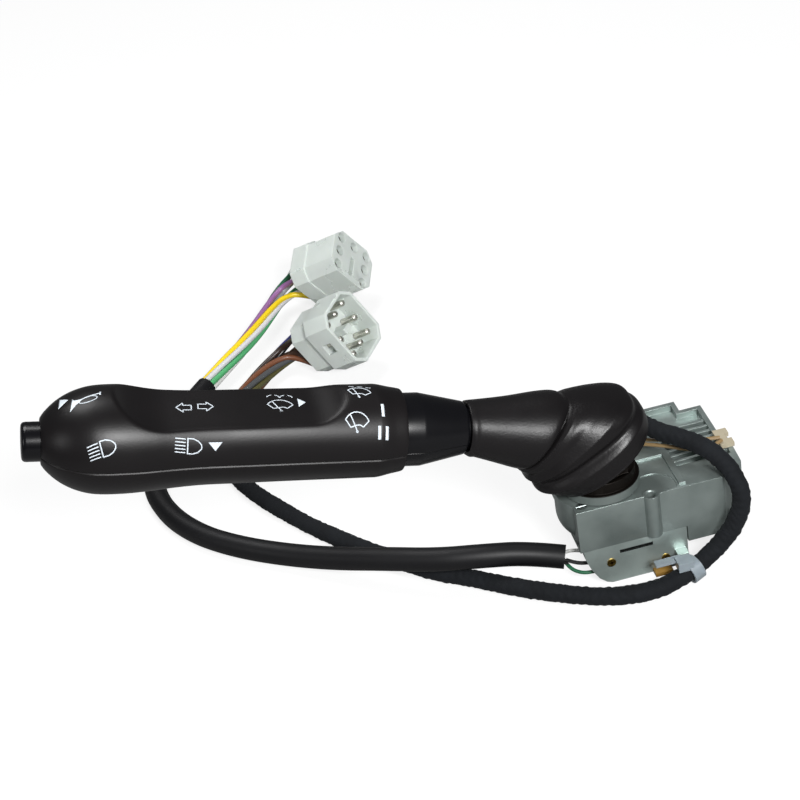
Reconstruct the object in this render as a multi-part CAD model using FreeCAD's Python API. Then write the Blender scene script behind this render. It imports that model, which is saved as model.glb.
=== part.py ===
"""Combination stalk switch of a truck's steering column, in millimetres.

The die-cast switch housing stands on its contact plate at z = 0. Its turret turns about a vertical axis
for the direction indicator, the lever tilts in the turret for the headlamp beam, the grip turns on the
lever for the wiper, slides along it for the washer, and carries the horn button in its end.
"""
import FreeCAD, Part
import math
import os

os.makedirs("parts", exist_ok=True)

# Layout: the turret axis is vertical, and the lever leaves it toward -X, rising
TURRET_X = -3.0
TURRET_Y = -10.0
TILT_Z = 59.2
LEVER_RISE = 14.5

# Fits and clearances
RUNNING_FIT = 0.05
SEAT_GAP = 0.3

# Switch housing, zinc die casting
TOP_Z = 34.0
FRONT_Y = -24.0
REAR_Y = 25.0
LEFT_X = -16.0
CORNER_X = 37.0
RIGHT_X = 46.0
SHOULDER_X = 45.5
STEP_X = 44.0
BACK_STEP_X = 36.0
PARTING_Z = 16.5
SKIRT_Z = 9.8
SKIRT_RIGHT_X = 41.0
SKIRT_REAR_Y = 14.0
CASE_WALL = 2.5
FRONT_WALL = 6.9
HOLLOW_ROOF = 9.0
POT_R = 16.5
POT_ROUND = 8.0
SPINDLE_R = 12.0
SPINDLE_DEPTH = 9.0
RECESS_DEPTH = 2.4
RECESS_FRONT_Y = -12.1
RIM_WIDTH = 1.9
RIB_X = 21.4
RIB_WIDTH = 2.4
RIB_PROUD = 0.8
RIB_FRONT_Y = -22.4
RIB_REAR_Y = -2.0
FIN_WIDTH = 1.2
FIN_PITCH = 3.15
FIN_COUNT = 7
FIN_DROP = 0.5
BOSS_X = 11.0
BOSS_Y = -23.2
BOSS_R = 2.9
THREAD_R = 1.6
THREAD_MOUTH = 0.5
THREAD_DEPTH = 14.0
RELIEF_R = 7.7
RELIEF_DEPTH = 0.4

# Contact block under the casting, and the contact plate that closes it
BLOCK_RIGHT_X = 22.5
BLOCK_REAR_Y = 18.0
BLOCK_SET_BACK = 0.3
BLOCK_FRONT_WALL = 4.0
BLOCK_HOLLOW_X = -6.0
PLATE_THICK = 1.6
TAB_X0 = 9.2
TAB_X1 = 15.6
TAB_FRONT_Y = -27.0
SLOT_LENGTH = 12.0
SLOT_HEIGHT = 0.9
SLOT_DEPTH = 0.8
SLOT_X = 4.0
SLOT_Z = 12.6
RIVET_R = 1.2
RIVET_HOLE_R = 0.6
RIVET_HEAD = 0.35
RIVET_PLACES = ((-5.4, 9.0), (14.2, 5.0))
SCREW_R = 1.35
SCREW_HEAD_R = 1.9
SCREW_HEAD = 0.5
SCREW_LENGTH = 9.0
SCREW_SLOT = 0.5
SCREW_PLACES = ((-13.0, -20.5), (-11.5, 21.0))
LUG_X = 19.6
LUG_Z = 6.0
LUG_SIDE = 4.0
LUG_REACH = 3.4
LUG_THICK = 1.6

# Cream terminal cover on the rim
TERMINAL_WIDE = 5.0
TERMINAL_FRONT_Y = -9.0
TERMINAL_REAR_Y = 0.3
TERMINAL_THICK = 1.6
TERMINAL_NOTCH = 3.0

# Turret
FLANGE_R = 13.8
FLANGE_THICK = 3.7
NECK_R = 12.5
CHEEK_IN = 5.0
CHEEK_OUT = 9.0
CHEEK_R = 8.0
CHEEK_FOOT_Z = 42.0
PIN_R = 2.5
SEAT_THICK = 3.0
SEAT_SQUEEZE = 0.15
DETENT_R = 2.0
DETENT_LENGTH = 5.5
DETENT_PROUD = 1.5
BRIDGE_WIDTH = 10.0
BRIDGE_THICK = 2.0
PLUNGER_Z = TOP_Z - SPINDLE_DEPTH - DETENT_PROUD
HOLLOW_FRONT_Y = FRONT_Y + FRONT_WALL
HOLLOW_REAR_Y = SKIRT_REAR_Y - CASE_WALL

# Rubber boot: each ring is its centre x and z, its tilt from level, its half length and half width, and
# the power of its oval, where two is an ellipse and more is squarer
BOOT_WALL = 1.5
BOOT_POINTS = 16
BOOT_RINGS = (
    (-1.7, 46.4, 29.6, 19.2, 15.6, 2.2),
    (-3.2, 48.4, 29.0, 20.9, 16.0, 2.3),
    (-6.3, 52.4, 28.0, 22.4, 16.0, 2.5),
    (-7.8, 54.8, 28.6, 21.6, 15.0, 2.6),
    (-9.6, 57.4, 29.5, 21.8, 14.9, 2.7),
    (-13.9, 59.4, 35.0, 19.2, 14.2, 2.6),
    (-18.6, 60.8, 41.5, 16.5, 13.2, 2.4),
    (-21.6, 61.8, 45.5, 14.8, 11.8, 2.2),
    (-24.0, 62.9, 52.0, 14.3, 13.6, 2.0),
    (-34.0, 65.7, 68.0, 11.6, 11.6, 2.0),
    (-46.8, 70.5, 75.5, 9.1, 9.1, 2.0),
)

# Lever tube and its collar, as distances along the lever from the tilt pin
TUBE_R = 6.0
TUBE_BORE_R = 4.2
TUBE_END = 124.0
EYE_R = 6.5
EYE_END = 11.0
COLLAR_NOSE = 32.0
COLLAR_NOSE_R = 7.3
COLLAR_STEP = 46.0
CONE_SMALL_R = 8.8
CONE_END = 61.6
COLLAR_R = 12.2
COLLAR_END = 76.0

# Grip
GRIP_START = 67.8
GRIP_END = 184.4
GRIP_WALL = 2.3
GRIP_PART = -1.8
GRIP_MOUTH_R = 13.6
GRIP_WAIST_R = 15.4
GRIP_PALM_R = 17.6
GRIP_CHAMFER_END = 76.0
GRIP_WAIST_END = 134.0
GRIP_PALM_AT = GRIP_END - 23.4
GRIP_NOSE_AT = GRIP_END - 12.4
GRIP_NOSE_R = 16.5
GRIP_END_R = 7.4
NOSE_CROWN = 1.75
FACET_HEIGHT = 10.4
FACET_START = 86.5
FACET_START_HEIGHT = 16.6
FACET_RAMP = 99.0
FACET_RISE = GRIP_END - 40.4
FACET_FADE = GRIP_END - 22.4
FACET_FADE_HEIGHT = 17.7
GRIP_BEARING_WIDTH = 5.0
GRIP_SCREW_R = 1.5
GRIP_SCREW_HEAD_R = 2.7
GRIP_SCREW_STATIONS = (TUBE_END + 8.0, GRIP_END - 30.4)
GRIP_SCREW_SIDE = 8.5
GRIP_SCREW_HEAD = 1.8
GRIP_SCREW_SEAT = -8.0
GRIP_SCREW_TOP = 4.5
GRIP_POST_R = 3.0

# Wiper drum that the grip turns and slides on
DRUM_START = 78.0
DRUM_END = 112.0
DRUM_R = 7.9
KEY_WIDTH = 3.0
KEY_HEIGHT = 1.4
NOTCH_R = 1.3
WASHER_TRAVEL = 3.5
STOP_HEIGHT = 0.5
STOP_THICK = 1.2
WASHER_SPRING_R = 7.4
SPRING_WIRE = 0.9
SPRING_TURNS = 4
SPRING_STEPS = 12
WEB_START = 119.0
WEB_THICK = 3.0

# Horn button in the end of the grip
BUTTON_R = 6.4
BUTTON_PROUD = 6.2
BUTTON_ROUND = 2.2
BUTTON_FLANGE_R = 7.8
BUTTON_FLANGE = 1.6
BUTTON_ROOF = 4.0
HORN_TRAVEL = 2.6
CARRIER_AT = GRIP_END - 20.4
CARRIER_THICK = 4.0
CARRIER_R = 13.4
CARRIER_LEDGE = 1.5
CONTACT_R = 1.5
CONTACT_SIDE = 6.2
HORN_SPRING_R = 3.6
HORN_SPRING_WIRE = 0.8
HORN_SPRING_TURNS = 6
BUTTON_END = GRIP_END + BUTTON_PROUD
FLANGE_FRONT = GRIP_END - GRIP_WALL - SEAT_GAP
FLANGE_BACK = FLANGE_FRONT - BUTTON_FLANGE
CARRIER_FACE = CARRIER_AT + CARRIER_THICK
POCKET_END = BUTTON_END - BUTTON_ROOF

# Cords: the plain sheath, the taped harness, single wires
SHEATH_D = 8.6
SHEATH_ROUTE = (
    (-19.5, -14.0, 8.5),
    (-32.0, -9.5, 10.8),
    (-47.0, -8.0, 13.2),
    (-63.0, -4.0, 13.4),
    (-80.0, 6.2, 11.4),
    (-97.0, 18.5, 7.4),
    (-113.0, 31.0, 4.6),
    (-129.0, 42.5, 4.35),
    (-143.0, 56.0, 4.35),
    (-153.0, 73.0, 4.35),
    (-157.5, 92.5, 4.35),
    (-155.0, 111.5, 4.35),
    (-148.5, 128.0, 4.35),
    (-138.5, 143.0, 4.6),
    (-127.6, 155.7, 5.4),
)
HARNESS_D = 6.6
HARNESS_ROUTE = (
    (2.0, 19.0, 35.5),
    (4.5, 17.5, 42.0),
    (10.0, 12.5, 45.5),
    (15.5, 5.0, 45.2),
    (21.0, -3.5, 44.2),
    (28.0, -11.0, 44.2),
    (34.5, -18.5, 42.5),
    (39.5, -25.5, 37.0),
    (41.5, -29.8, 29.0),
    (39.3, -30.3, 20.5),
    (34.8, -30.0, 12.8),
    (27.0, -31.0, 6.6),
    (17.5, -34.4, 4.4),
    (6.0, -37.4, 3.5),
    (-7.0, -35.6, 3.4),
    (-19.0, -30.3, 3.4),
    (-31.0, -23.0, 3.4),
    (-42.0, -14.6, 3.4),
    (-52.5, -6.4, 3.4),
    (-62.5, 1.0, 3.4),
    (-73.5, 11.5, 3.4),
    (-85.5, 25.0, 3.4),
    (-97.0, 39.0, 3.4),
    (-107.5, 54.5, 3.4),
    (-117.0, 71.0, 3.4),
    (-125.0, 88.0, 3.4),
    (-128.0, 105.5, 3.4),
    (-125.0, 122.5, 3.4),
    (-118.5, 136.0, 4.3),
)
WIRE_D = 2.4
WIRE_SIDES = 8
FAN_POWER = 6
TWIST = 150.0
UPPER_ROUTE = (
    (-127.6, 155.7, 5.4),
    (-119.0, 165.5, 6.2),
    (-109.8, 176.0, 6.6),
    (-101.0, 187.5, 7.0),
    (-93.3, 199.5, 7.5),
    (-86.3, 210.0, 8.0),
    (-78.7, 213.1, 10.7),
)
LOWER_ROUTE = (
    (-118.5, 136.0, 4.3),
    (-111.0, 145.8, 4.4),
    (-103.8, 154.0, 4.8),
    (-96.3, 160.4, 6.0),
    (-88.0, 163.4, 8.6),
)
THIN_WIRE_D = 1.4
SIDE_ROUTES = (
    ((-18.85, -12.6, 9.4), (-17.4, -13.6, 10.4), (-15.2, -14.6, 10.6), (-13.0, -15.6, 10.4)),
    ((-19.95, -15.2, 8.4), (-17.4, -17.0, 7.8), (-15.0, -18.4, 7.6), (-12.3, -19.4, 7.8)),
    ((-19.8, -13.8, 6.4), (-18.2, -17.0, 4.6), (-15.0, -19.6, 4.0), (-10.6, -20.8, 4.4)),
)
TOP_ROUTES = (
    ((12.6, 4.0, 34.0), (14.2, 2.4, 36.8), (18.2, -1.6, 38.0), (24.0, -5.6, 38.2),
     (30.0, -9.6, 37.6), (36.4, -10.6, 36.6), (42.6, -7.0, 36.2)),
    ((14.8, 6.0, 34.0), (17.2, 4.0, 36.6), (21.4, 0.6, 37.6), (27.0, -2.6, 37.8),
     (33.0, -4.6, 37.2), (38.4, -4.6, 36.4), (42.6, -5.0, 36.0)),
)

# Cable tie round the harness, with its head on top and its tail toward the housing
TIE_CENTRE = (20.6, -33.3, 5.2)
TIE_AIM = (0.92, 0.33, 0.2)
TIE_GAP = 0.35
TIE_THICK = 0.9
TIE_WIDTH = 4.4
TIE_HEAD = (5.4, 5.0, 3.4)
TIE_HEAD_AT = (17.6, -34.0, 9.2)
TIE_TAIL = 7.0

# Connectors, each along its own mating direction and rolled about it
SOCKET_FACE = (-52.6, 198.2, 24.0)
SOCKET_AIM = (0.764, -0.489, 0.422)
SOCKET_ROLL = -65.6
SOCKET_LENGTH = 24.0
SOCKET_HIGH = 21.5
SOCKET_WIDE = 26.0
SOCKET_STEP = 8.0
STEP_PROUD = 0.6
PLUG_FACE = (-62.7, 144.6, 24.0)
PLUG_AIM = (0.644, -0.590, 0.487)
PLUG_ROLL = -80.0
PLUG_LENGTH = 25.0
PLUG_HIGH = 23.5
PLUG_WIDE = 28.0
PLUG_BACK_HIGH = 20.5
PLUG_BACK_WIDE = 25.0
SHROUD_WALL = 1.4
SHROUD_DEPTH = 11.0
SHROUD_FLOOR = 3.0
CAVITY_PITCH = 7.0
COLUMN_PITCH = 8.4
CAVITY_R = 2.3
CAVITY_DEPTH = 16.0
PIN_CONTACT_R = 1.4
PIN_ROOT = 8.0
PIN_RECESS = 2.5
CHAMFER = 4.5
WINDOW_WIDE = 5.0
KEY_SIDE = 2.4
SOCKET_PLACES = tuple((side * COLUMN_PITCH, row * CAVITY_PITCH) for side in (-1, 1) for row in (-1, 0, 1))
SOCKET_PLACES += ((0.0, CAVITY_PITCH),)
PLUG_PLACES = SOCKET_PLACES + ((0.0, -CAVITY_PITCH),)

# Reach of a cutting block beyond anything that it cuts
FAR = 60.0
LEVER_FAR = 240.0

X_AXIS = FreeCAD.Vector(1, 0, 0)
Y_AXIS = FreeCAD.Vector(0, 1, 0)
Z_AXIS = FreeCAD.Vector(0, 0, 1)
ORIGIN = FreeCAD.Vector(0, 0, 0)
TILT_PIN = FreeCAD.Vector(TURRET_X, TURRET_Y, TILT_Z)


def vec(x, y, z):
    return FreeCAD.Vector(x, y, z)


def block(x0, x1, y0, y1, z0, z1):
    """A box between two corners."""
    return Part.makeBox(x1 - x0, y1 - y0, z1 - z0, vec(x0, y0, z0))


def upright(x, y, r, z0, z1):
    """A vertical cylinder."""
    return Part.makeCylinder(r, z1 - z0, vec(x, y, z0))


def plan(points, z0, z1):
    """A plan outline raised from z0 to z1."""
    corners = [vec(x, y, z0) for x, y in points]
    face = Part.Face(Part.makePolygon(corners + corners[:1]))
    return face.extrude(vec(0, 0, z1 - z0))


def along(r, start, end):
    """A cylinder on the lever's axis between two stations."""
    return Part.makeCylinder(r, end - start, vec(start, 0, 0), X_AXIS)


def pipe(r_out, r_in, start, end):
    """A ring on the lever's axis between two stations."""
    return along(r_out, start, end).cut(along(r_in, start - 1, end + 1))


def turned(profile, inner=0.0):
    """A solid of revolution about the lever's axis, through stations and radii joined by straight lines."""
    points = [vec(s, 0, r) for s, r in profile]
    points += [vec(profile[-1][0], 0, inner), vec(profile[0][0], 0, inner)]
    face = Part.Face(Part.makePolygon(points + points[:1]))
    return face.revolve(ORIGIN, X_AXIS, 360)


def on_lever(shape):
    """Carries a piece from the lever's own frame to its place: station along X, Y to the front, Z up."""
    turn = FreeCAD.Rotation(Y_AXIS, LEVER_RISE).multiply(FreeCAD.Rotation(Z_AXIS, 180))
    placed = shape.copy()
    placed.Placement = FreeCAD.Placement(TILT_PIN, turn).multiply(placed.Placement)
    return placed


def connector_turn(aim, roll):
    """The turn that carries a connector's own frame, mating along X, to how it lies."""
    d = vec(*aim).normalize()
    yaw = math.degrees(math.atan2(d.y, d.x))
    pitch = -math.degrees(math.asin(d.z))
    turn = FreeCAD.Rotation(Z_AXIS, yaw).multiply(FreeCAD.Rotation(Y_AXIS, pitch))
    return turn.multiply(FreeCAD.Rotation(X_AXIS, roll))


def aimed(shape, place, aim, roll):
    """Carries a connector from its own frame to where it lies."""
    placed = shape.copy()
    placed.Placement = FreeCAD.Placement(vec(*place), connector_turn(aim, roll)).multiply(placed.Placement)
    return placed


def save(name, shape):
    """Writes one node. Every solid of it has to be sound."""
    if not shape.isValid():
        print("not valid:", name)
    shape.exportStep("parts/%s.step" % name)


def helix(r, wire, start, end, turns):
    """A compression spring on the lever's axis: its wire runs in short straight steps along a helix."""
    steps = turns * SPRING_STEPS
    rise = end - start - 2 * wire
    points = []
    for i in range(steps + 1):
        angle = 2 * math.pi * i / SPRING_STEPS
        points.append(vec(start + wire + rise * i / steps, r * math.cos(angle), r * math.sin(angle)))
    path = Part.makePolygon(points)
    section = ngon(points[0], points[1] - points[0], wire / 2, 6)
    return path.makePipeShell([section], True, False, 1)


def ngon(centre, heading, r, sides):
    """A regular outline of the given radius, square to a heading."""
    turn = FreeCAD.Rotation(Z_AXIS, heading)
    points = []
    for i in range(sides + 1):
        angle = 2 * math.pi * i / sides
        points.append(centre + turn.multVec(vec(r * math.cos(angle), r * math.sin(angle), 0)))
    return Part.makePolygon(points)


def cord_tube(route, diameter, name, sides=12):
    """A cord's tube: straight runs joined by arcs as large as the runs allow. Prints its radii."""
    points = [vec(*p) for p in route]
    edges = []
    radii = []
    length = 0.0
    here = points[0]
    for before, corner, after in zip(points, points[1:], points[2:]):
        into = (corner - before).normalize()
        out = (after - corner).normalize()
        turn = into.getAngle(out)
        reach = 0.45 * min((corner - before).Length, (after - corner).Length)
        radius = reach / math.tan(turn / 2)
        start = corner - into * reach
        end = corner + out * reach
        middle = (start + end) / 2
        toward = (middle - corner).normalize()
        centre = corner + toward * math.hypot(radius, reach)
        top = centre - toward * radius
        edges.append(Part.LineSegment(here, start).toShape())
        edges.append(Part.Arc(start, top, end).toShape())
        length += (start - here).Length + radius * turn
        radii.append(round(radius, 1))
        here = end
    edges.append(Part.LineSegment(here, points[-1]).toShape())
    length += (points[-1] - here).Length
    path = Part.Wire(edges)
    heading = points[1] - points[0]
    section = ngon(points[0], heading, diameter / 2, sides)
    tube = path.makePipeShell([section], True, False)
    share = tube.Volume / (Part.Face(section).Area * length)
    print(name, "length", round(length, 1), "volume share", round(share, 3), "radii", min(radii), radii)
    return tube


def casting_outline(inset=0.0):
    """The stepped outline of the switch housing in plan, drawn in from its edge by an inset."""
    return (
        (LEFT_X + inset, FRONT_Y + inset),
        (CORNER_X - inset / 2, FRONT_Y + inset),
        (SHOULDER_X - inset, -18.0 + inset / 2),
        (RIGHT_X - inset, -8.0),
        (RIGHT_X - inset, -1.0 - inset),
        (STEP_X - inset, -1.0 - inset),
        (STEP_X - inset, 19.0 - inset),
        (BACK_STEP_X - inset, 19.0 - inset),
        (BACK_STEP_X - inset, REAR_Y - inset),
        (LEFT_X + inset, REAR_Y - inset),
    )


def switch_housing():
    """Zinc casting: stepped outline, round pot on the turret axis, ribbed recess, threaded boss."""
    body = plan(casting_outline(), PARTING_Z, TOP_Z)
    pot = upright(TURRET_X, TURRET_Y, POT_R, PARTING_Z, TOP_Z)
    foot = [e for e in pot.Edges if abs(e.BoundBox.ZMax - PARTING_Z) < 0.01]
    pot = pot.makeFillet(POT_ROUND, [e for e in foot if e.Length > POT_R])
    pot = pot.cut(block(-FAR, FAR, -FAR, FRONT_Y, 0, FAR))
    skirt = block(BLOCK_RIGHT_X + SEAT_GAP, SKIRT_RIGHT_X, FRONT_Y, SKIRT_REAR_Y, SKIRT_Z, PARTING_Z)
    boss = upright(BOSS_X, BOSS_Y, BOSS_R, PARTING_Z, TOP_Z)
    body = body.fuse([pot, skirt, boss])
    # The hollow under the roof, open below, with the walls left standing
    hollow = block(LEFT_X + CASE_WALL, SKIRT_RIGHT_X - CASE_WALL, HOLLOW_FRONT_Y, HOLLOW_REAR_Y,
                   0, TOP_Z - HOLLOW_ROOF)
    body = body.cut(hollow)
    body = body.cut(upright(TURRET_X, TURRET_Y, SPINDLE_R + RUNNING_FIT, 0, TOP_Z + 1))
    # Recess with a raised rim behind and right of the rib, and fins across its floor
    rim = plan(casting_outline(RIM_WIDTH), TOP_Z - RECESS_DEPTH, TOP_Z + 1)
    rib_right = RIB_X + RIB_WIDTH
    field = block(rib_right, RIGHT_X, RECESS_FRONT_Y, REAR_Y, 0, TOP_Z + 1)
    recess = rim.common(field)
    for i in range(FIN_COUNT):
        y = RECESS_FRONT_Y + (i + 1) * FIN_PITCH
        recess = recess.cut(block(RIB_X, RIGHT_X, y, y + FIN_WIDTH, 0, TOP_Z - FIN_DROP))
    body = body.cut(recess)
    # Ribs that stand on the roof, square to each other, and the plain patch behind the boss
    long_rib = block(RIB_X, rib_right, RIB_FRONT_Y, RIB_REAR_Y, TOP_Z - 1, TOP_Z + RIB_PROUD)
    cross_rib = block(BOSS_X, rib_right, RIB_REAR_Y - RIB_WIDTH, RIB_REAR_Y, TOP_Z - 1, TOP_Z + RIB_PROUD)
    relief = upright(BOSS_X + 2.2, BOSS_Y + 3.0, RELIEF_R, TOP_Z - RELIEF_DEPTH, TOP_Z + 1)
    relief = relief.common(block(-FAR, RIB_X, FRONT_Y + 1.2, FAR, 0, FAR))
    collar = upright(BOSS_X, BOSS_Y, BOSS_R, 0, FAR)
    body = body.cut(relief.cut(collar)).fuse([long_rib, cross_rib])
    body = body.cut(upright(BOSS_X, BOSS_Y, THREAD_R, TOP_Z - THREAD_DEPTH, TOP_Z + 1))
    mouth = Part.makeCone(THREAD_R, THREAD_R + THREAD_MOUTH, THREAD_MOUTH,
                          vec(BOSS_X, BOSS_Y, TOP_Z - THREAD_MOUTH))
    body = body.cut(mouth)
    for x, y in SCREW_PLACES:
        body = body.cut(upright(x, y, SCREW_R, TOP_Z - SCREW_LENGTH, TOP_Z + 1))
        body = body.cut(upright(x, y, SCREW_HEAD_R, TOP_Z - SCREW_HEAD, TOP_Z + 1))
    outlet = vec(*HARNESS_ROUTE[0])
    body = body.fuse(upright(outlet.x, outlet.y, HARNESS_D / 2 + 1.4, TOP_Z, outlet.z))
    return body.removeSplitter()


def block_hollow(top):
    """The contact block's hollow from the floor up to a height; the contact plate closes its foot."""
    return block(BLOCK_HOLLOW_X, BLOCK_RIGHT_X - CASE_WALL, FRONT_Y + BLOCK_FRONT_WALL,
                 BLOCK_REAR_Y - CASE_WALL, 0, top)


def plate_tab():
    """The tab of the contact plate that comes out under the front wall."""
    return block(TAB_X0, TAB_X1, TAB_FRONT_Y, FRONT_Y + BLOCK_FRONT_WALL + 1, 0, PLATE_THICK)


def contact_block():
    """Lower casting, narrower than the housing, with a sloped left edge, a slot and the tie lug."""
    outline = (
        (-14.9, PARTING_Z),
        (-14.2, 12.2),
        (-12.6, 7.6),
        (-10.2, 3.2),
        (-7.6, 0.8),
        (-5.6, 0),
        (BLOCK_RIGHT_X, 0),
        (BLOCK_RIGHT_X, PARTING_Z),
    )
    front_y = FRONT_Y + BLOCK_SET_BACK
    corners = [vec(x, front_y, z) for x, z in outline]
    face = Part.Face(Part.makePolygon(corners + corners[:1]))
    body = face.extrude(vec(0, BLOCK_REAR_Y - front_y, 0))
    body = body.cut(block_hollow(PARTING_Z + 1)).cut(plate_tab())
    slot = block(SLOT_X - SLOT_LENGTH / 2, SLOT_X + SLOT_LENGTH / 2, FRONT_Y - 1,
                 front_y + SLOT_DEPTH, SLOT_Z, SLOT_Z + SLOT_HEIGHT)
    body = body.cut(slot)
    lug = block(LUG_X - LUG_SIDE / 2, LUG_X + LUG_SIDE / 2, FRONT_Y - LUG_REACH, FRONT_Y + 1,
                LUG_Z, LUG_Z + LUG_THICK)
    body = body.fuse(lug)
    for x, z in RIVET_PLACES:
        body = body.cut(Part.makeCylinder(RIVET_R, 5, vec(x, FRONT_Y - 1, z), Y_AXIS))
    return body.removeSplitter()


def contact_plate():
    """Brown laminate plate that closes the block and carries the fixed contacts."""
    return block_hollow(PLATE_THICK).fuse(plate_tab()).removeSplitter()


def brass_rivets():
    """Two hollow rivets in the front of the block, each with a rolled head."""
    rivets = []
    face_y = FRONT_Y + BLOCK_SET_BACK
    for x, z in RIVET_PLACES:
        shank = Part.makeCylinder(RIVET_R, 3, vec(x, face_y, z), Y_AXIS)
        head = Part.makeCylinder(RIVET_R * 1.35, RIVET_HEAD, vec(x, face_y - RIVET_HEAD, z), Y_AXIS)
        hole = Part.makeCylinder(RIVET_HOLE_R, 5, vec(x, face_y - 1, z), Y_AXIS)
        rivets.append(shank.fuse(head).cut(hole))
    return Part.makeCompound(rivets)


def housing_screws():
    """Slotted screws that hold the casting's halves together."""
    screws = []
    for x, y in SCREW_PLACES:
        shank = upright(x, y, SCREW_R, TOP_Z - SCREW_LENGTH, TOP_Z)
        head = upright(x, y, SCREW_HEAD_R, TOP_Z - SCREW_HEAD, TOP_Z)
        slot = block(x - SCREW_HEAD_R, x + SCREW_HEAD_R, y - SCREW_SLOT / 2, y + SCREW_SLOT / 2,
                     TOP_Z - SCREW_HEAD / 2, TOP_Z + 1)
        screws.append(shank.fuse(head).cut(slot))
    return Part.makeCompound(screws)


def terminal_strip():
    """Cream plastic terminal cover that sticks out past the stepped edge."""
    right_x = RIGHT_X + 0.6
    body = block(right_x - TERMINAL_WIDE, right_x, TERMINAL_FRONT_Y, TERMINAL_REAR_Y, TOP_Z,
                 TOP_Z + TERMINAL_THICK)
    middle_y = (TERMINAL_FRONT_Y + TERMINAL_REAR_Y) / 2
    notch = block(right_x - TERMINAL_NOTCH / 2, FAR, middle_y - TERMINAL_NOTCH / 2,
                  middle_y + TERMINAL_NOTCH / 2, 0, FAR)
    return body.cut(notch)


def turret():
    """Turning head: spindle in the pot, flange on the roof, oblique boot seat and two cheeks."""
    body = upright(TURRET_X, TURRET_Y, SPINDLE_R, TOP_Z - SPINDLE_DEPTH, TOP_Z + SEAT_GAP)
    flange = upright(TURRET_X, TURRET_Y, FLANGE_R, TOP_Z + SEAT_GAP, TOP_Z + SEAT_GAP + FLANGE_THICK)
    neck = upright(TURRET_X, TURRET_Y, NECK_R, TOP_Z + 1, CHEEK_FOOT_Z)
    tilt = math.radians(BOOT_RINGS[0][2])
    normal = vec(-math.sin(tilt), 0, math.cos(tilt))
    seat_face = Part.Face(boot_ring(BOOT_RINGS[0], BOOT_WALL - SEAT_SQUEEZE))
    seat = seat_face.extrude(normal * SEAT_THICK)
    riser = upright(TURRET_X + 2.5, TURRET_Y, NECK_R - 3.0, CHEEK_FOOT_Z - 1, 52)
    under = seat_face.extrude(normal * -FAR)
    riser = riser.common(under.fuse(seat))
    cheeks = upright(TURRET_X, TURRET_Y, CHEEK_R, CHEEK_FOOT_Z - 1, TILT_Z)
    top = Part.makeCylinder(CHEEK_R, 2 * CHEEK_OUT, TILT_PIN - vec(0, CHEEK_OUT, 0), Y_AXIS)
    stem = block(TURRET_X - CHEEK_R, TURRET_X + CHEEK_R, TURRET_Y - CHEEK_OUT, TURRET_Y + CHEEK_OUT,
                 CHEEK_FOOT_Z - 1, TILT_Z)
    body = body.fuse([flange, neck, seat, riser, cheeks, stem, top])
    reach = EYE_R + 2.0
    slot = block(-80, 40, TURRET_Y - CHEEK_IN, TURRET_Y + CHEEK_IN, TILT_Z - reach, 90)
    body = body.cut(slot)
    swing = on_lever(along(TUBE_R + 3.0, EYE_END - 3.0, 60))
    body = body.cut(swing)
    body = body.cut(Part.makeCylinder(PIN_R, 40, TILT_PIN - vec(0, 20, 0), Y_AXIS))
    pocket = upright(TURRET_X, TURRET_Y, DETENT_R, 0, PLUNGER_Z + DETENT_LENGTH)
    return body.cut(pocket).removeSplitter()


def tilt_pin():
    """Steel pin through the turret's cheeks and the lever's eye."""
    half = CHEEK_OUT
    return Part.makeCylinder(PIN_R, 2 * half, TILT_PIN - vec(0, half, 0), Y_AXIS)


def detent_plunger():
    """Ball-ended plunger in the foot of the turret, pressed on the detent track."""
    pin = upright(TURRET_X, TURRET_Y, DETENT_R, PLUNGER_Z, PLUNGER_Z + DETENT_LENGTH)
    return pin.fuse(Part.makeSphere(DETENT_R, vec(TURRET_X, TURRET_Y, PLUNGER_Z)))


def detent_bridge():
    """Bridge across the pot that holds the detent track under the turret."""
    top = PLUNGER_Z - DETENT_R - SEAT_GAP
    half = BRIDGE_WIDTH / 2
    return block(TURRET_X - half, TURRET_X + half, HOLLOW_FRONT_Y, HOLLOW_REAR_Y, top - BRIDGE_THICK, top)


def boot_ring(ring, shrink=0.0):
    """One oval of the boot: a smooth closed line through points of a squared ellipse."""
    x, z, tilt, half_length, half_width, power = ring
    points = []
    for i in range(BOOT_POINTS):
        angle = 2 * math.pi * i / BOOT_POINTS
        c = math.copysign(abs(math.cos(angle)) ** (2 / power), math.cos(angle))
        n = math.copysign(abs(math.sin(angle)) ** (2 / power), math.sin(angle))
        points.append(vec((half_length - shrink) * c, (half_width - shrink) * n, 0))
    curve = Part.BSplineCurve()
    curve.interpolate(points, PeriodicFlag=True)
    oval = curve.toShape()
    oval.Placement = FreeCAD.Placement(vec(x, TURRET_Y, z), FreeCAD.Rotation(Y_AXIS, -tilt))
    return Part.Wire(oval)


def boot():
    """Moulded rubber boot, a fan of folds that turns from the turret into the lever's sleeve."""
    outside = Part.makeLoft([boot_ring(r) for r in BOOT_RINGS], True, True)
    inside = Part.makeLoft([boot_ring(r, BOOT_WALL) for r in BOOT_RINGS], True, True)
    return outside.cut(inside)


def lever_tube():
    """Steel tube with a flat eye for the tilt pin; the grip's wires run in its bore."""
    tube = along(TUBE_R, EYE_END - 2, TUBE_END).cut(along(TUBE_BORE_R, EYE_END + 4, TUBE_END + 1))
    flat = CHEEK_IN - SEAT_GAP
    eye = Part.makeCylinder(EYE_R, 2 * flat, vec(0, -flat, 0), Y_AXIS)
    arm = block(0, EYE_END, -flat, flat, -TUBE_R + 0.5, TUBE_R - 0.5)
    hole = Part.makeCylinder(PIN_R + RUNNING_FIT, 40, vec(0, -20, 0), Y_AXIS)
    return on_lever(tube.fuse([eye, arm]).cut(hole).removeSplitter())


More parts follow.
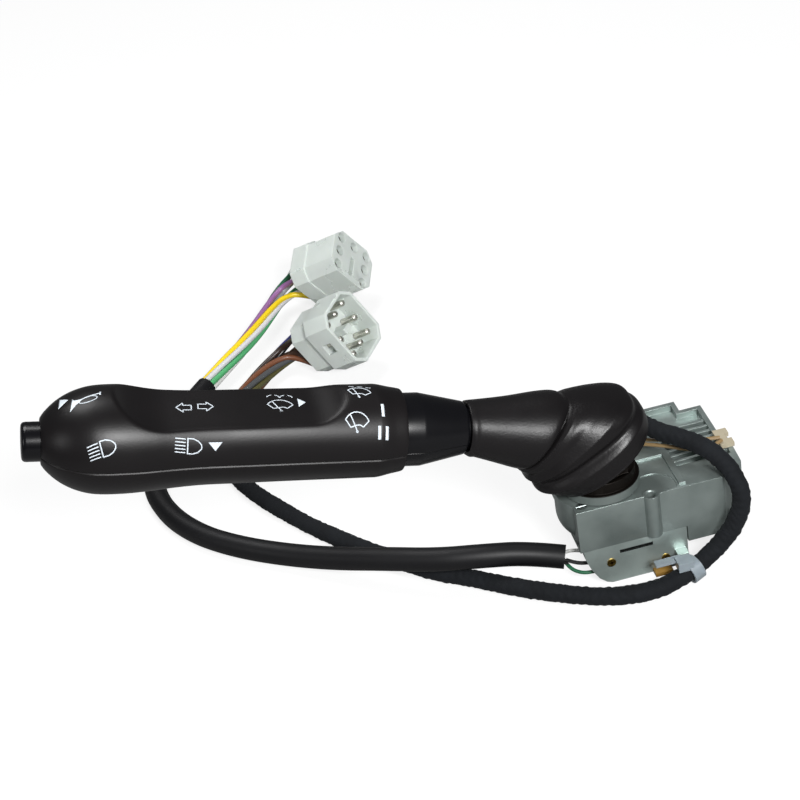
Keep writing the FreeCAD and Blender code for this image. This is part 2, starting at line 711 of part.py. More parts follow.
def parted(whole):
    """The upper and lower half of a piece on the lever, parted a little below its axis."""
    upper = whole.common(block(0, LEVER_FAR, -FAR, FAR, GRIP_PART, FAR))
    lower = whole.common(block(0, LEVER_FAR, -FAR, FAR, -FAR, GRIP_PART))
    return on_lever(upper), on_lever(lower)


def collar_halves():
    """The neck collar, a cone in two halves clamped round the lever tube."""
    whole = turned(
        (
            (COLLAR_NOSE, COLLAR_NOSE_R),
            (COLLAR_STEP, COLLAR_NOSE_R),
            (COLLAR_STEP, CONE_SMALL_R),
            (CONE_END, COLLAR_R),
            (COLLAR_END, COLLAR_R),
        ),
        TUBE_R,
    )
    return parted(whole)


def line(start, end):
    return Part.LineSegment(start, end).toShape()


def arc(start, middle, end):
    return Part.Arc(start, middle, end).toShape()


def bend(start, end, height):
    """An arc that leaves its start level and reaches the end, in the plane Y = height."""
    flat = vec(end.x - start.x, 0, 0)
    lift = end.z - start.z
    radius = (flat.x ** 2 + lift ** 2) / (2 * abs(lift))
    half = math.asin(abs(flat.x) / radius) / 2
    way = math.copysign(1, lift)
    side = math.copysign(1, flat.x)
    middle = vec(start.x + side * radius * math.sin(half), height, start.z + way * radius * (1 - math.cos(half)))
    return arc(start, middle, end)


def grip_form(shrink=0.0):
    """The grip's outer form or its hollow: a turned waist, palm swell and nose, less the thumb facet."""
    mouth = vec(GRIP_START, 0, GRIP_MOUTH_R - shrink)
    waist = vec(GRIP_CHAMFER_END, 0, GRIP_WAIST_R - shrink)
    waist_end = vec(GRIP_WAIST_END, 0, GRIP_WAIST_R + 0.3 - shrink)
    palm = vec(GRIP_PALM_AT, 0, GRIP_PALM_R - shrink)
    swell = (waist_end + palm) / 2
    nose = vec(GRIP_NOSE_AT, 0, GRIP_NOSE_R - shrink)
    end = vec(GRIP_END, 0, GRIP_END_R - shrink)
    across = (end - nose).normalize()
    shoulder = (nose + end) / 2 + vec(-across.z, 0, across.x) * NOSE_CROWN
    axis_end = vec(GRIP_END, 0, 0)
    axis_start = vec(GRIP_START, 0, 0)
    edges = [
        line(mouth, waist),
        line(waist, waist_end),
        bend(waist_end, swell, 0),
        bend(palm, swell, 0),
        bend(palm, nose, 0),
        arc(nose, shoulder, end),
        line(end, axis_end),
        line(axis_end, axis_start),
        line(axis_start, mouth),
    ]
    outline = Part.Wire(Part.__sortEdges__(edges))
    body = Part.Face(outline).revolve(ORIGIN, X_AXIS, 360)
    side = -40.0
    roof = 40.0
    ramp = vec(FACET_RAMP, side, FACET_HEIGHT - shrink)
    rise = vec(FACET_RISE, side, FACET_HEIGHT - shrink)
    first = vec(FACET_START, side, FACET_START_HEIGHT - shrink)
    last = vec(FACET_FADE, side, FACET_FADE_HEIGHT - shrink)
    cutter = [
        bend(ramp, first, side),
        line(ramp, rise),
        bend(rise, last, side),
        line(last, vec(FACET_FADE, side, roof)),
        line(vec(FACET_FADE, side, roof), vec(FACET_START, side, roof)),
        line(vec(FACET_START, side, roof), first),
    ]
    outline = Part.Wire(Part.__sortEdges__(cutter))
    facet = Part.Face(outline).extrude(vec(0, 2 * roof, 0))
    return body.cut(facet)


def grip_shells():
    """Two moulded half shells with inner bearing rings, a spring web and the button's guide."""
    outer = grip_form()
    inner = grip_form(GRIP_WALL).common(along(FAR, GRIP_START + 7.0, GRIP_END - GRIP_WALL))
    shell = outer.cut(inner)
    shell = shell.cut(along(COLLAR_R + SEAT_GAP, 0, GRIP_START + 9.0))
    # Everything inside ends in the middle of the wall, so that the outside stays whole
    inside = grip_form(GRIP_WALL / 2)
    fit = DRUM_R + RUNNING_FIT
    fittings = []
    for start in (DRUM_START + WASHER_TRAVEL + 1, DRUM_END - GRIP_BEARING_WIDTH - 2):
        fittings.append(pipe(FAR, fit, start, start + GRIP_BEARING_WIDTH))
    fittings.append(pipe(FAR, TUBE_R + RUNNING_FIT, WEB_START, WEB_START + WEB_THICK))
    holder = pipe(FAR, CARRIER_R - CARRIER_LEDGE, CARRIER_AT - CARRIER_LEDGE, CARRIER_FACE + CARRIER_LEDGE)
    fittings.append(holder.cut(along(CARRIER_R, CARRIER_AT, CARRIER_FACE)))
    for s, side in grip_screw_places():
        fittings.append(Part.makeCylinder(GRIP_POST_R, 2 * FAR, vec(s, side, -FAR), Z_AXIS))
    for fitting in fittings:
        shell = shell.fuse(fitting.common(inside))
    shell = shell.cut(along(BUTTON_R + RUNNING_FIT, CARRIER_FACE, BUTTON_END))
    shell = shell.cut(along(BUTTON_FLANGE_R + SEAT_GAP, CARRIER_FACE, GRIP_END - GRIP_WALL))
    half = KEY_WIDTH / 2 + SEAT_GAP / 2
    keyway = block(DRUM_START - 1, DRUM_END + WASHER_TRAVEL, -half, half, -DRUM_R - KEY_HEIGHT - SEAT_GAP, 0)
    shell = shell.cut(keyway)
    for s, side in grip_screw_places():
        hole = Part.makeCylinder(GRIP_SCREW_R, GRIP_SCREW_TOP + FAR, vec(s, side, -FAR), Z_AXIS)
        recess = Part.makeCylinder(GRIP_SCREW_HEAD_R, GRIP_SCREW_SEAT + FAR, vec(s, side, -FAR), Z_AXIS)
        shell = shell.cut(hole.fuse(recess))
    return parted(shell)


def grip_screw_places():
    """Stations and sides of the grip's screws."""
    return [(s, side) for s in GRIP_SCREW_STATIONS for side in (-GRIP_SCREW_SIDE, GRIP_SCREW_SIDE)]


def grip_screws():
    """Screws from below that draw the two shells together."""
    screws = []
    under = GRIP_SCREW_SEAT - GRIP_SCREW_HEAD
    for s, side in grip_screw_places():
        shank = Part.makeCylinder(GRIP_SCREW_R, GRIP_SCREW_TOP - GRIP_SCREW_SEAT, vec(s, side, GRIP_SCREW_SEAT))
        head = Part.makeCylinder(GRIP_SCREW_HEAD_R, GRIP_SCREW_HEAD, vec(s, side, under))
        slot = block(s - GRIP_SCREW_HEAD_R, s + GRIP_SCREW_HEAD_R, side - SCREW_SLOT, side + SCREW_SLOT,
                     under - 1, under + GRIP_SCREW_HEAD / 2)
        screws.append(shank.fuse(head).cut(slot))
    return on_lever(Part.makeCompound(screws))


def wiper_drum():
    """Detent drum on the lever tube, keyed to the grip so that the grip turns it and slides on it."""
    drum = pipe(DRUM_R, TUBE_R + RUNNING_FIT, DRUM_START, DRUM_END)
    key = block(DRUM_START + 1, DRUM_END - 1, -KEY_WIDTH / 2, KEY_WIDTH / 2, -DRUM_R - KEY_HEIGHT, -DRUM_R + 1)
    drum = drum.fuse(key)
    for i in range(4):
        angle = math.radians(60 + 20 * i)
        out = vec(0, math.cos(angle), math.sin(angle))
        notch = Part.makeCylinder(NOTCH_R, DRUM_R, vec(DRUM_START, 0, 0) + out * TUBE_R, out)
        drum = drum.cut(notch)
    return on_lever(drum)


def washer_spring():
    """Spring between the drum and the grip's web that returns the grip after the washer."""
    return on_lever(helix(WASHER_SPRING_R, SPRING_WIRE, DRUM_END, WEB_START, SPRING_TURNS))


def tube_stop():
    """Snap ring on the lever tube that keeps the drum from sliding out."""
    start = DRUM_END + SEAT_GAP
    return on_lever(pipe(TUBE_R + STOP_HEIGHT, TUBE_R, start, start + STOP_THICK))


def horn_carrier():
    """Plastic disc across the grip that holds the horn contacts."""
    disc = along(CARRIER_R, CARRIER_AT, CARRIER_FACE)
    for side in (-CONTACT_SIDE, CONTACT_SIDE):
        disc = disc.cut(Part.makeCylinder(CONTACT_R, 20, vec(CARRIER_AT - 5, side, 0), X_AXIS))
    return on_lever(disc)


def horn_contacts():
    """Two brass contact studs that the flange of the pressed button bridges."""
    length = FLANGE_BACK - HORN_TRAVEL - SEAT_GAP - CARRIER_AT
    studs = []
    for side in (-CONTACT_SIDE, CONTACT_SIDE):
        studs.append(Part.makeCylinder(CONTACT_R, length, vec(CARRIER_AT, side, 0), X_AXIS))
    return on_lever(Part.makeCompound(studs))


def horn_button():
    """Push button with a retaining flange inside the grip and a pocket for its spring."""
    cap = along(BUTTON_R, FLANGE_BACK, BUTTON_END)
    rim = [e for e in cap.Edges if abs(e.BoundBox.XMin - BUTTON_END) < 0.01 and e.Length > BUTTON_R]
    cap = cap.makeFillet(BUTTON_ROUND, rim)
    flange = along(BUTTON_FLANGE_R, FLANGE_BACK, FLANGE_FRONT)
    pocket = along(HORN_SPRING_R + HORN_SPRING_WIRE / 2 + SEAT_GAP, 0, POCKET_END)
    return on_lever(cap.fuse(flange).cut(pocket).removeSplitter())


def horn_spring():
    """Spring in the hollow of the button that pushes it out."""
    return on_lever(helix(HORN_SPRING_R, HORN_SPRING_WIRE, CARRIER_FACE, POCKET_END, HORN_SPRING_TURNS))


def octagon(wide, high, chamfer, start, end):
    """A connector body: a rectangle with cut corners, extruded along the mating direction."""
    w = wide / 2
    h = high / 2
    points = (
        (-w + chamfer, -h), (w - chamfer, -h), (w, -h + chamfer), (w, h - chamfer),
        (w - chamfer, h), (-w + chamfer, h), (-w, h - chamfer), (-w, -h + chamfer),
    )
    corners = [vec(start, y, z) for y, z in points]
    face = Part.Face(Part.makePolygon(corners + corners[:1]))
    return face.extrude(vec(end - start, 0, 0))


def socket_housing():
    """Translucent nylon socket housing: a block with chamfered corners, a key slot and a step at the back."""
    body = octagon(SOCKET_WIDE, SOCKET_HIGH, CHAMFER, -SOCKET_LENGTH, 0)
    step = octagon(SOCKET_WIDE + 2 * STEP_PROUD, SOCKET_HIGH + 2 * STEP_PROUD, CHAMFER, -SOCKET_LENGTH,
                   SOCKET_STEP - SOCKET_LENGTH)
    body = body.fuse(step)
    for y, z in SOCKET_PLACES:
        body = body.cut(Part.makeCylinder(CAVITY_R, CAVITY_DEPTH, vec(-CAVITY_DEPTH, y, z), X_AXIS))
    half = KEY_SIDE / 2
    body = body.cut(block(-SOCKET_STEP, 1, -half, half, -CAVITY_PITCH - half, half))
    return aimed(body.removeSplitter(), SOCKET_FACE, SOCKET_AIM, SOCKET_ROLL)


def socket_contacts():
    """Tinned sleeve contacts, one in each cavity."""
    sleeves = []
    length = CAVITY_DEPTH - PIN_RECESS
    for y, z in SOCKET_PLACES:
        sleeve = Part.makeCylinder(CAVITY_R - SEAT_GAP, length, vec(-CAVITY_DEPTH, y, z), X_AXIS)
        bore = Part.makeCylinder(PIN_CONTACT_R + RUNNING_FIT, length, vec(PIN_RECESS - CAVITY_DEPTH, y, z), X_AXIS)
        sleeves.append(sleeve.cut(bore))
    return aimed(Part.makeCompound(sleeves), SOCKET_FACE, SOCKET_AIM, SOCKET_ROLL)


def plug_housing():
    """Translucent nylon pin housing: a wide shroud round the pins, a key post and a latch window."""
    root = -SHROUD_DEPTH - SHROUD_FLOOR
    shroud = octagon(PLUG_WIDE, PLUG_HIGH, CHAMFER, root, 0)
    inside = octagon(PLUG_WIDE - 2 * SHROUD_WALL, PLUG_HIGH - 2 * SHROUD_WALL,
                     CHAMFER - SHROUD_WALL / 2, -SHROUD_DEPTH, 1)
    body = shroud.cut(inside)
    body = body.fuse(octagon(PLUG_BACK_WIDE, PLUG_BACK_HIGH, CHAMFER, -PLUG_LENGTH, root))
    half = KEY_SIDE / 2
    body = body.fuse(block(-SHROUD_DEPTH - 1, -PIN_RECESS - 1, -half, half, -KEY_SIDE, KEY_SIDE))
    side = WINDOW_WIDE / 2
    window = block(-2 * WINDOW_WIDE, -WINDOW_WIDE, -side, side, -FAR, 2 * SHROUD_WALL - PLUG_HIGH / 2)
    body = body.cut(window)
    for y, z in PLUG_PLACES:
        body = body.cut(Part.makeCylinder(PIN_CONTACT_R, FAR, vec(-SHROUD_DEPTH - PIN_ROOT, y, z), X_AXIS))
    return aimed(body.removeSplitter(), PLUG_FACE, PLUG_AIM, PLUG_ROLL)


def plug_pins():
    """Round pins that stand in the shroud."""
    pins = []
    length = SHROUD_DEPTH + PIN_ROOT - PIN_RECESS
    for y, z in PLUG_PLACES:
        pin = Part.makeCylinder(PIN_CONTACT_R, length, vec(-SHROUD_DEPTH - PIN_ROOT, y, z), X_AXIS)
        tip = max(pin.Edges, key=lambda edge: edge.CenterOfMass.x)
        pins.append(pin.makeChamfer(PIN_CONTACT_R / 2, [tip]))
    return aimed(Part.makeCompound(pins), PLUG_FACE, PLUG_AIM, PLUG_ROLL)


def frame_at(points, i):
    """The level and upright directions across a route at one of its points."""
    before = points[max(i - 1, 0)]
    after = points[min(i + 1, len(points) - 1)]
    ahead = (after - before).normalize()
    level = Z_AXIS.cross(ahead).normalize()
    return level, ahead.cross(level)


def fanned_wires(route, face, aim, roll, length, places, name):
    """Wires that leave a cord's end in a twisted bundle and fan out to the places of a connector."""
    turn = connector_turn(aim, roll)
    back = vec(*face) - turn.multVec(X_AXIS) * length
    points = [vec(*p) for p in route] + [back]
    last = len(points) - 1
    level, upright_way = frame_at(points, last)
    offsets = [turn.multVec(vec(0, y, z)) for y, z in places]
    # The wire to the last place runs in the middle, the others round it in the order of their places
    order = sorted(range(len(places) - 1), key=lambda n: math.atan2(offsets[n] * upright_way, offsets[n] * level))
    ring_r = WIRE_D * 1.04 / (2 * math.sin(math.pi / len(order)))
    wires = []
    for number, offset in enumerate(offsets):
        r = ring_r if number in order else 0.0
        place = order.index(number) if number in order else 0
        wire = []
        for i, p in enumerate(points):
            share = i / last
            fan = share ** FAN_POWER
            angle = 2 * math.pi * place / len(order) - math.pi - math.radians(TWIST) * (1 - share)
            level, upright_way = frame_at(points, i)
            ring = (level * math.cos(angle) + upright_way * math.sin(angle)) * r
            wire.append(p + ring * (1 - fan) + offset * fan)
        wires.append(cord_tube(wire, WIRE_D, name, WIRE_SIDES))
    return Part.makeCompound(wires)


def cable_tie():
    """Nylon tie: a band round the harness, its ratchet head and the cut tail."""
    d = vec(*TIE_AIM).normalize()
    start = vec(*TIE_CENTRE) - d * (TIE_WIDTH / 2)
    inner = HARNESS_D / 2 + TIE_GAP
    band = Part.makeCylinder(inner + TIE_THICK, TIE_WIDTH, start, d)
    x, y, z = TIE_HEAD_AT
    long, wide, high = TIE_HEAD
    head = block(x - long / 2, x + long / 2, y - wide / 2, y + wide / 2, z - high / 2, z + high / 2)
    tail = block(x - long / 2 - TIE_TAIL, x, y + 1.0, y + 1.0 + TIE_WIDTH * 0.7, z, z + TIE_THICK)
    band = band.fuse([head, tail])
    return band.cut(Part.makeCylinder(inner, TIE_WIDTH * 4, start - d * TIE_WIDTH * 1.5, d))


def main():
    save("switch_housing", switch_housing())
    save("contact_block", contact_block())
    save("contact_plate", contact_plate())
    save("brass_rivets", brass_rivets())
    save("housing_screws", housing_screws())
    save("terminal_strip", terminal_strip())
    save("turret", turret())
    save("tilt_pin", tilt_pin())
    save("detent_plunger", detent_plunger())
    save("detent_bridge", detent_bridge())
    save("boot", boot())
    save("lever_tube", lever_tube())
    upper, lower = collar_halves()
    save("collar_upper", upper)
    save("collar_lower", lower)
    upper, lower = grip_shells()
    save("grip_upper", upper)
    save("grip_lower", lower)
    save("grip_screws", grip_screws())
    save("wiper_drum", wiper_drum())
    save("washer_spring", washer_spring())
    save("tube_stop", tube_stop())
    save("horn_carrier", horn_carrier())
    save("horn_contacts", horn_contacts())
    save("horn_button", horn_button())
    save("horn_spring", horn_spring())
    save("socket_housing", socket_housing())
    save("socket_contacts", socket_contacts())
    save("plug_housing", plug_housing())
    save("plug_pins", plug_pins())
    save("sheath", cord_tube(SHEATH_ROUTE, SHEATH_D, "sheath"))
    save("harness", cord_tube(HARNESS_ROUTE, HARNESS_D, "harness"))
    save("wires_upper", fanned_wires(UPPER_ROUTE, SOCKET_FACE, SOCKET_AIM, SOCKET_ROLL, SOCKET_LENGTH,
                                     SOCKET_PLACES, "upper wire"))
    save("wires_lower", fanned_wires(LOWER_ROUTE, PLUG_FACE, PLUG_AIM, PLUG_ROLL, PLUG_LENGTH,
                                     PLUG_PLACES, "lower wire"))
    save("side_wires", Part.makeCompound([cord_tube([vec(*p) for p in r], THIN_WIRE_D, "side", WIRE_SIDES)
                                          for r in SIDE_ROUTES]))
    save("top_wires", Part.makeCompound([cord_tube([vec(*p) for p in r], THIN_WIRE_D, "top", WIRE_SIDES)
                                         for r in TOP_ROUTES]))
    save("cable_tie", cable_tie())


main()
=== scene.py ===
"""Looks of the combination stalk switch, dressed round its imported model. Lengths are in metres."""
import bmesh
import bpy
import numpy as np
from mathutils import Matrix, Vector


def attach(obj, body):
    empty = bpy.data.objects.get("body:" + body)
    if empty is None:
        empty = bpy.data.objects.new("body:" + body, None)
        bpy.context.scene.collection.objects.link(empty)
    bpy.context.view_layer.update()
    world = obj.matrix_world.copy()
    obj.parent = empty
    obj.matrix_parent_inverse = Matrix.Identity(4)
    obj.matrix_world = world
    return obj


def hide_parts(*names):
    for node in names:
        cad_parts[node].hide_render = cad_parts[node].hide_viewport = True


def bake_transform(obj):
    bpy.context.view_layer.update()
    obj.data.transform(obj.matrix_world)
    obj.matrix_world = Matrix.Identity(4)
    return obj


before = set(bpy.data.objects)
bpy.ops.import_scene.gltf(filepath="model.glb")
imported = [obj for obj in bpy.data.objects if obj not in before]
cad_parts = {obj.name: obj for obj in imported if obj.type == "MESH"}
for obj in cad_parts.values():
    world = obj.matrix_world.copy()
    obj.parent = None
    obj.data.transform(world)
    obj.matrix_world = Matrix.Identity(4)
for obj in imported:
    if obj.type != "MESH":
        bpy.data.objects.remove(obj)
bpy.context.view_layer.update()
MM = 0.001

# Camera: a long lens half a metre in front of the switch, a little to the left of the housing and looking
# down on it, as the photograph was taken.
CAMERA_PLACE = (-0.1234, -0.5084, 0.4272)
CAMERA_AXES = ((0.9662, -0.2110, -0.1481), (0.2401, 0.5278, 0.8147), (-0.0937, -0.8227, 0.5606))
SENSOR_WIDTH = 36.0
LENS = 83.25
NEAR_CLIP = 0.05
camera_data = bpy.data.cameras.new("camera")
camera_data.sensor_width = SENSOR_WIDTH
camera_data.lens = LENS
camera_data.clip_start = NEAR_CLIP
camera = bpy.data.objects.new("camera", camera_data)
bpy.context.scene.collection.objects.link(camera)
turn = Matrix(CAMERA_AXES).transposed().to_quaternion().to_matrix().to_4x4()
camera.matrix_world = Matrix.Translation(CAMERA_PLACE) @ turn
bpy.context.scene.camera = camera
bpy.context.scene.view_settings.view_transform = "Standard"


# Floor and light: a pale table under soft lamps. What the camera sees of the table is lifted toward white,
# and the shadow of the switch stays on it.
def colour(code, alpha=1.0):
    """An sRGB hex colour as linear red, green and blue, with alpha."""
    srgb = np.array([int(code[i:i + 2], 16) for i in (1, 3, 5)]) / 255.0
    linear = np.where(srgb <= 0.04045, srgb / 12.92, ((srgb + 0.055) / 1.055) ** 2.4)
    return (*linear.tolist(), alpha)


def add(material, kind, inputs=(), **settings):
    """Adds a node with its settings. Each input, by name or number, gets a value or a link."""
    made = material.node_tree.nodes.new(kind)
    for name, value in settings.items():
        setattr(made, name, value)
    for name, value in dict(inputs).items():
        if isinstance(value, bpy.types.NodeSocket):
            material.node_tree.links.new(value, made.inputs[name])
        else:
            made.inputs[name].default_value = value
    return made


def bare_material(name):
    """A material with no nodes yet."""
    material = bpy.data.materials.new(name)
    material.use_nodes = True
    material.node_tree.nodes.clear()
    return material


FLOOR_HALF = 4.0
FLOOR_HEIGHT = -0.0002
FLOOR_LIFT = 0.8
floor_material = bare_material("matt_white_table")
seen = add(floor_material, "ShaderNodeLightPath").outputs["Is Camera Ray"]
tone = add(floor_material, "ShaderNodeMix", {0: seen, 6: colour("#8c8c8c"), 7: colour("#ffffff")},
           data_type="RGBA")
table_white = add(floor_material, "ShaderNodeBsdfDiffuse", {"Color": tone.outputs[2]})
lifted = add(floor_material, "ShaderNodeEmission", {"Color": (1, 1, 1, 1), "Strength": 1.0})
lift = add(floor_material, "ShaderNodeMath", {0: seen, 1: FLOOR_LIFT}, operation="MULTIPLY")
both = add(floor_material, "ShaderNodeMixShader", {0: lift.outputs[0], 1: table_white.outputs[0],
                                                   2: lifted.outputs[0]})
add(floor_material, "ShaderNodeOutputMaterial", {"Surface": both.outputs[0]})
floor_mesh = bpy.data.meshes.new("floor")
floor_corners = [(x * FLOOR_HALF, y * FLOOR_HALF, FLOOR_HEIGHT)
                 for x, y in ((-1, -1), (1, -1), (1, 1), (-1, 1))]
floor_mesh.from_pydata(floor_corners, [], [(0, 1, 2, 3)])
floor = bpy.data.objects.new("floor", floor_mesh)
floor_mesh.materials.append(floor_material)
bpy.context.scene.collection.objects.link(floor)

world = bpy.data.worlds.new("studio")
bpy.context.scene.world = world
world.use_nodes = True
world.node_tree.nodes.clear()
path = add(world, "ShaderNodeLightPath")
direct = add(world, "ShaderNodeMath", {0: path.outputs["Is Camera Ray"],
                                       1: path.outputs["Is Transmission Ray"]}, operation="MAXIMUM")
AMBIENT = 0.12
ambient = add(world, "ShaderNodeBackground", {"Color": colour("#eef1f4"), "Strength": AMBIENT})
white = add(world, "ShaderNodeBackground", {"Color": (1, 1, 1, 1), "Strength": 1.0})
sky = add(world, "ShaderNodeMixShader", {0: direct.outputs[0], 1: ambient.outputs[0], 2: white.outputs[0]})
add(world, "ShaderNodeOutputWorld", {"Surface": sky.outputs[0]})


def lamp(name, place, aim, size, power):
    """A square soft box of white light at a place, turned to its aim."""
    light = bpy.data.lights.new(name, "AREA")
    light.size = size
    light.energy = power
    made = bpy.data.objects.new(name, light)
    away = Vector(place) - Vector(aim)
    made.rotation_mode = "QUATERNION"
    made.rotation_quaternion = away.to_track_quat("Z", "Y")
    made.location = place
    bpy.context.scene.collection.objects.link(made)


lamp("key", (0.10, -0.80, 0.66), (-0.06, 0.0, 0.05), 0.26, 15.0)
lamp("top", (-0.25, 0.45, 1.0), (-0.07, 0.05, 0.0), 0.5, 7.0)
lamp("left", (-0.9, -0.35, 0.5), (-0.1, 0.0, 0.06), 0.3, 1.2)


# Sleeve of the thick cord: black PVC tubing over seven wires. It leaves the housing at its lower left corner
# and lies on the table in one long curve.
CORD_ROUNDNESS = 5


def nurbs_data(name, points, steps):
    """Curve data: one smooth NURBS line led by control points in millimetres."""
    data = bpy.data.curves.new(name, "CURVE")
    data.dimensions = "3D"
    data.resolution_u = steps
    spline = data.splines.new("NURBS")
    spline.points.add(len(points) - 1)
    for at, (x, y, z) in zip(spline.points, points):
        at.co = (x * MM, y * MM, z * MM, 1.0)
    spline.order_u = 3
    spline.use_endpoint_u = True
    return data


def route_curve(name, points, diameter, steps):
    """A cord with a round section and closed ends along a route in millimetres."""
    data = nurbs_data(name, points, steps)
    data.bevel_depth = diameter * MM / 2
    data.bevel_resolution = CORD_ROUNDNESS
    data.use_fill_caps = True
    made = bpy.data.objects.new(name, data)
    bpy.context.scene.collection.objects.link(made)
    return made


# The roughness drifts this far below and above its mean while the noise runs over its usual span
GLOSS_DRIFT = (0.05, 0.07)
NOISE_SPAN = (0.3, 0.7)


def finished_surface(name, shades, roughness, cloud_mm, grain_mm, grain_depth_mm, **more):
    """A surface whose colour drifts between two shades over cloud_mm and whose grain is a fine bump."""
    material = bare_material(name)
    place = add(material, "ShaderNodeTexCoord").outputs["Object"]
    cloud = add(material, "ShaderNodeTexNoise", {"Vector": place, "Scale": 1 / (cloud_mm * MM),
                                                 "Detail": 4.0})
    tint = add(material, "ShaderNodeMix", {0: cloud.outputs[0], 6: colour(shades[0]), 7: colour(shades[1])},
               data_type="RGBA")
    grain = add(material, "ShaderNodeTexNoise", {"Vector": place, "Scale": 1 / (grain_mm * MM),
                                                 "Detail": 2.0})
    bump = add(material, "ShaderNodeBump", {"Height": grain.outputs[0], "Distance": grain_depth_mm * MM})
    gloss = add(material, "ShaderNodeMapRange", {0: cloud.outputs[0], 1: NOISE_SPAN[0], 2: NOISE_SPAN[1],
                                                 3: roughness - GLOSS_DRIFT[0],
                                                 4: roughness + GLOSS_DRIFT[1]})
    shader = add(material, "ShaderNodeBsdfPrincipled", {"Base Color": tint.outputs[2],
                                                        "Roughness": gloss.outputs[0],
                                                        "Normal": bump.outputs[0], **more})
    add(material, "ShaderNodeOutputMaterial", {"Surface": shader.outputs[0]})
    return material


# Carbon-black plastics and rubber reflect about half as much as clear ones
BLACK = {"Specular IOR Level": 0.24}
sleeve_pvc = finished_surface("black_pvc_sleeving", ("#0c0c0e", "#121214"), 0.50, 30.0, 1.2, 0.02, **BLACK)
SHEATH_D = 8.6
SHEATH_ROUTE = (
    (-19.5, -14.0, 8.5), (-32.0, -9.5, 10.8), (-47.0, -8.0, 13.2), (-63.0, -4.0, 13.4), (-80.0, 6.2, 11.4),
    (-97.0, 18.5, 7.4), (-113.0, 31.0, 4.6), (-129.0, 42.5, 4.35), (-143.0, 56.0, 4.35), (-153.0, 73.0, 4.35),
    (-157.5, 92.5, 4.35), (-155.0, 111.5, 4.35), (-148.5, 128.0, 4.35), (-138.5, 143.0, 4.6),
    (-127.6, 155.7, 5.4),
)
SHEATH_STEPS = 10
sheath = route_curve("sheath_sleeve", SHEATH_ROUTE, SHEATH_D, SHEATH_STEPS)
sheath.data.materials.append(sleeve_pvc)
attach(sheath, "base")
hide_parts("sheath")


# Taped harness: eight wires bound in black cloth tape that is wound on with half its width overlapping. Its
# edges stand up as a fine spiral, and the tape creases where the cord bends.
SWEEP_STEPS = 24
START_ACROSS = (0.3, 0.9, 0.31)


def spline_points(points):
    """Points in metres along the smooth NURBS line of a route, close enough together to sweep along."""
    data = nurbs_data("route", points, SWEEP_STEPS)
    holder = bpy.data.objects.new("route", data)
    mesh = bpy.data.meshes.new_from_object(holder)
    line = np.empty(len(mesh.vertices) * 3)
    mesh.vertices.foreach_get("co", line)
    bpy.data.meshes.remove(mesh)
    bpy.data.objects.remove(holder)
    bpy.data.curves.remove(data)
    return line.reshape(-1, 3)


def unit(v):
    """Rows made one long."""
    return v / np.linalg.norm(v, axis=-1, keepdims=True)


def carried_frames(line):
    """Directions along a line, and two across it that turn as little as they can from point to point."""
    ahead = unit(np.gradient(line, axis=0))
    side = np.empty_like(ahead)
    side[0] = unit(np.cross(ahead[0], START_ACROSS))
    for i in range(1, len(line)):
        side[i] = unit(side[i - 1] - ahead[i] * np.dot(side[i - 1], ahead[i]))
    return ahead, side, np.cross(ahead, side)


def grid_mesh(name, points, round_u=False, round_v=False):
    """A smooth mesh of quads over a grid of points in metres, closed the ways that go round."""
    rows, columns = points.shape[:2]
    index = np.arange(rows * columns).reshape(rows, columns)
    if round_u:
        index = np.concatenate([index, index[:1]], 0)
    if round_v:
        index = np.concatenate([index, index[:, :1]], 1)
    quads = np.stack([index[:-1, :-1], index[1:, :-1], index[1:, 1:], index[:-1, 1:]], -1).reshape(-1, 4)
    mesh = bpy.data.meshes.new(name)
    mesh.from_pydata(points.reshape(-1, 3).tolist(), [], quads.tolist())
    mesh.polygons.foreach_set("use_smooth", np.full(len(mesh.polygons), True))
    return mesh


def closed_mesh(mesh, caps=False):
    """Closes the open rings of a mesh if caps are asked for, and turns its faces outward."""
    work = bmesh.new()
    work.from_mesh(mesh)
    if caps:
        rings = [e for e in work.edges if e.is_boundary]
        bmesh.ops.holes_fill(work, edges=rings, sides=0)
    bmesh.ops.recalc_face_normals(work, faces=work.faces)
    work.to_mesh(mesh)
    work.free()
    return mesh


def piece(name, mesh, material, body, replaced=()):
    """Puts a finished mesh into the scene on its body."""
    made = bpy.data.objects.new(name, mesh)
    bpy.context.scene.collection.objects.link(made)
    mesh.materials.clear()
    mesh.materials.append(material)
    if body:
        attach(made, body)
    if replaced:
        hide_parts(*replaced)
    return made


HARNESS_D = 6.6
HARNESS_ROUTE = (
    (2.0, 19.0, 35.5), (4.5, 17.5, 42.0), (10.0, 12.5, 45.5), (15.5, 5.0, 45.2), (21.0, -3.5, 44.2),
    (28.0, -11.0, 44.2), (34.5, -18.5, 42.5), (39.5, -25.5, 37.0), (41.5, -29.8, 29.0), (39.3, -30.3, 20.5),
    (34.8, -30.0, 12.8), (27.0, -31.0, 6.6), (17.5, -34.4, 4.4), (6.0, -37.4, 3.5), (-7.0, -35.6, 3.4),
    (-19.0, -30.3, 3.4), (-31.0, -23.0, 3.4), (-42.0, -14.6, 3.4), (-52.5, -6.4, 3.4), (-62.5, 1.0, 3.4),
    (-73.5, 11.5, 3.4), (-85.5, 25.0, 3.4), (-97.0, 39.0, 3.4), (-107.5, 54.5, 3.4), (-117.0, 71.0, 3.4),
    (-125.0, 88.0, 3.4), (-128.0, 105.5, 3.4), (-125.0, 122.5, 3.4), (-118.5, 136.0, 4.3),
)
TAPE_PITCH = 8.0
TAPE_THICK = 0.16
TAPE_INSET = 0.12
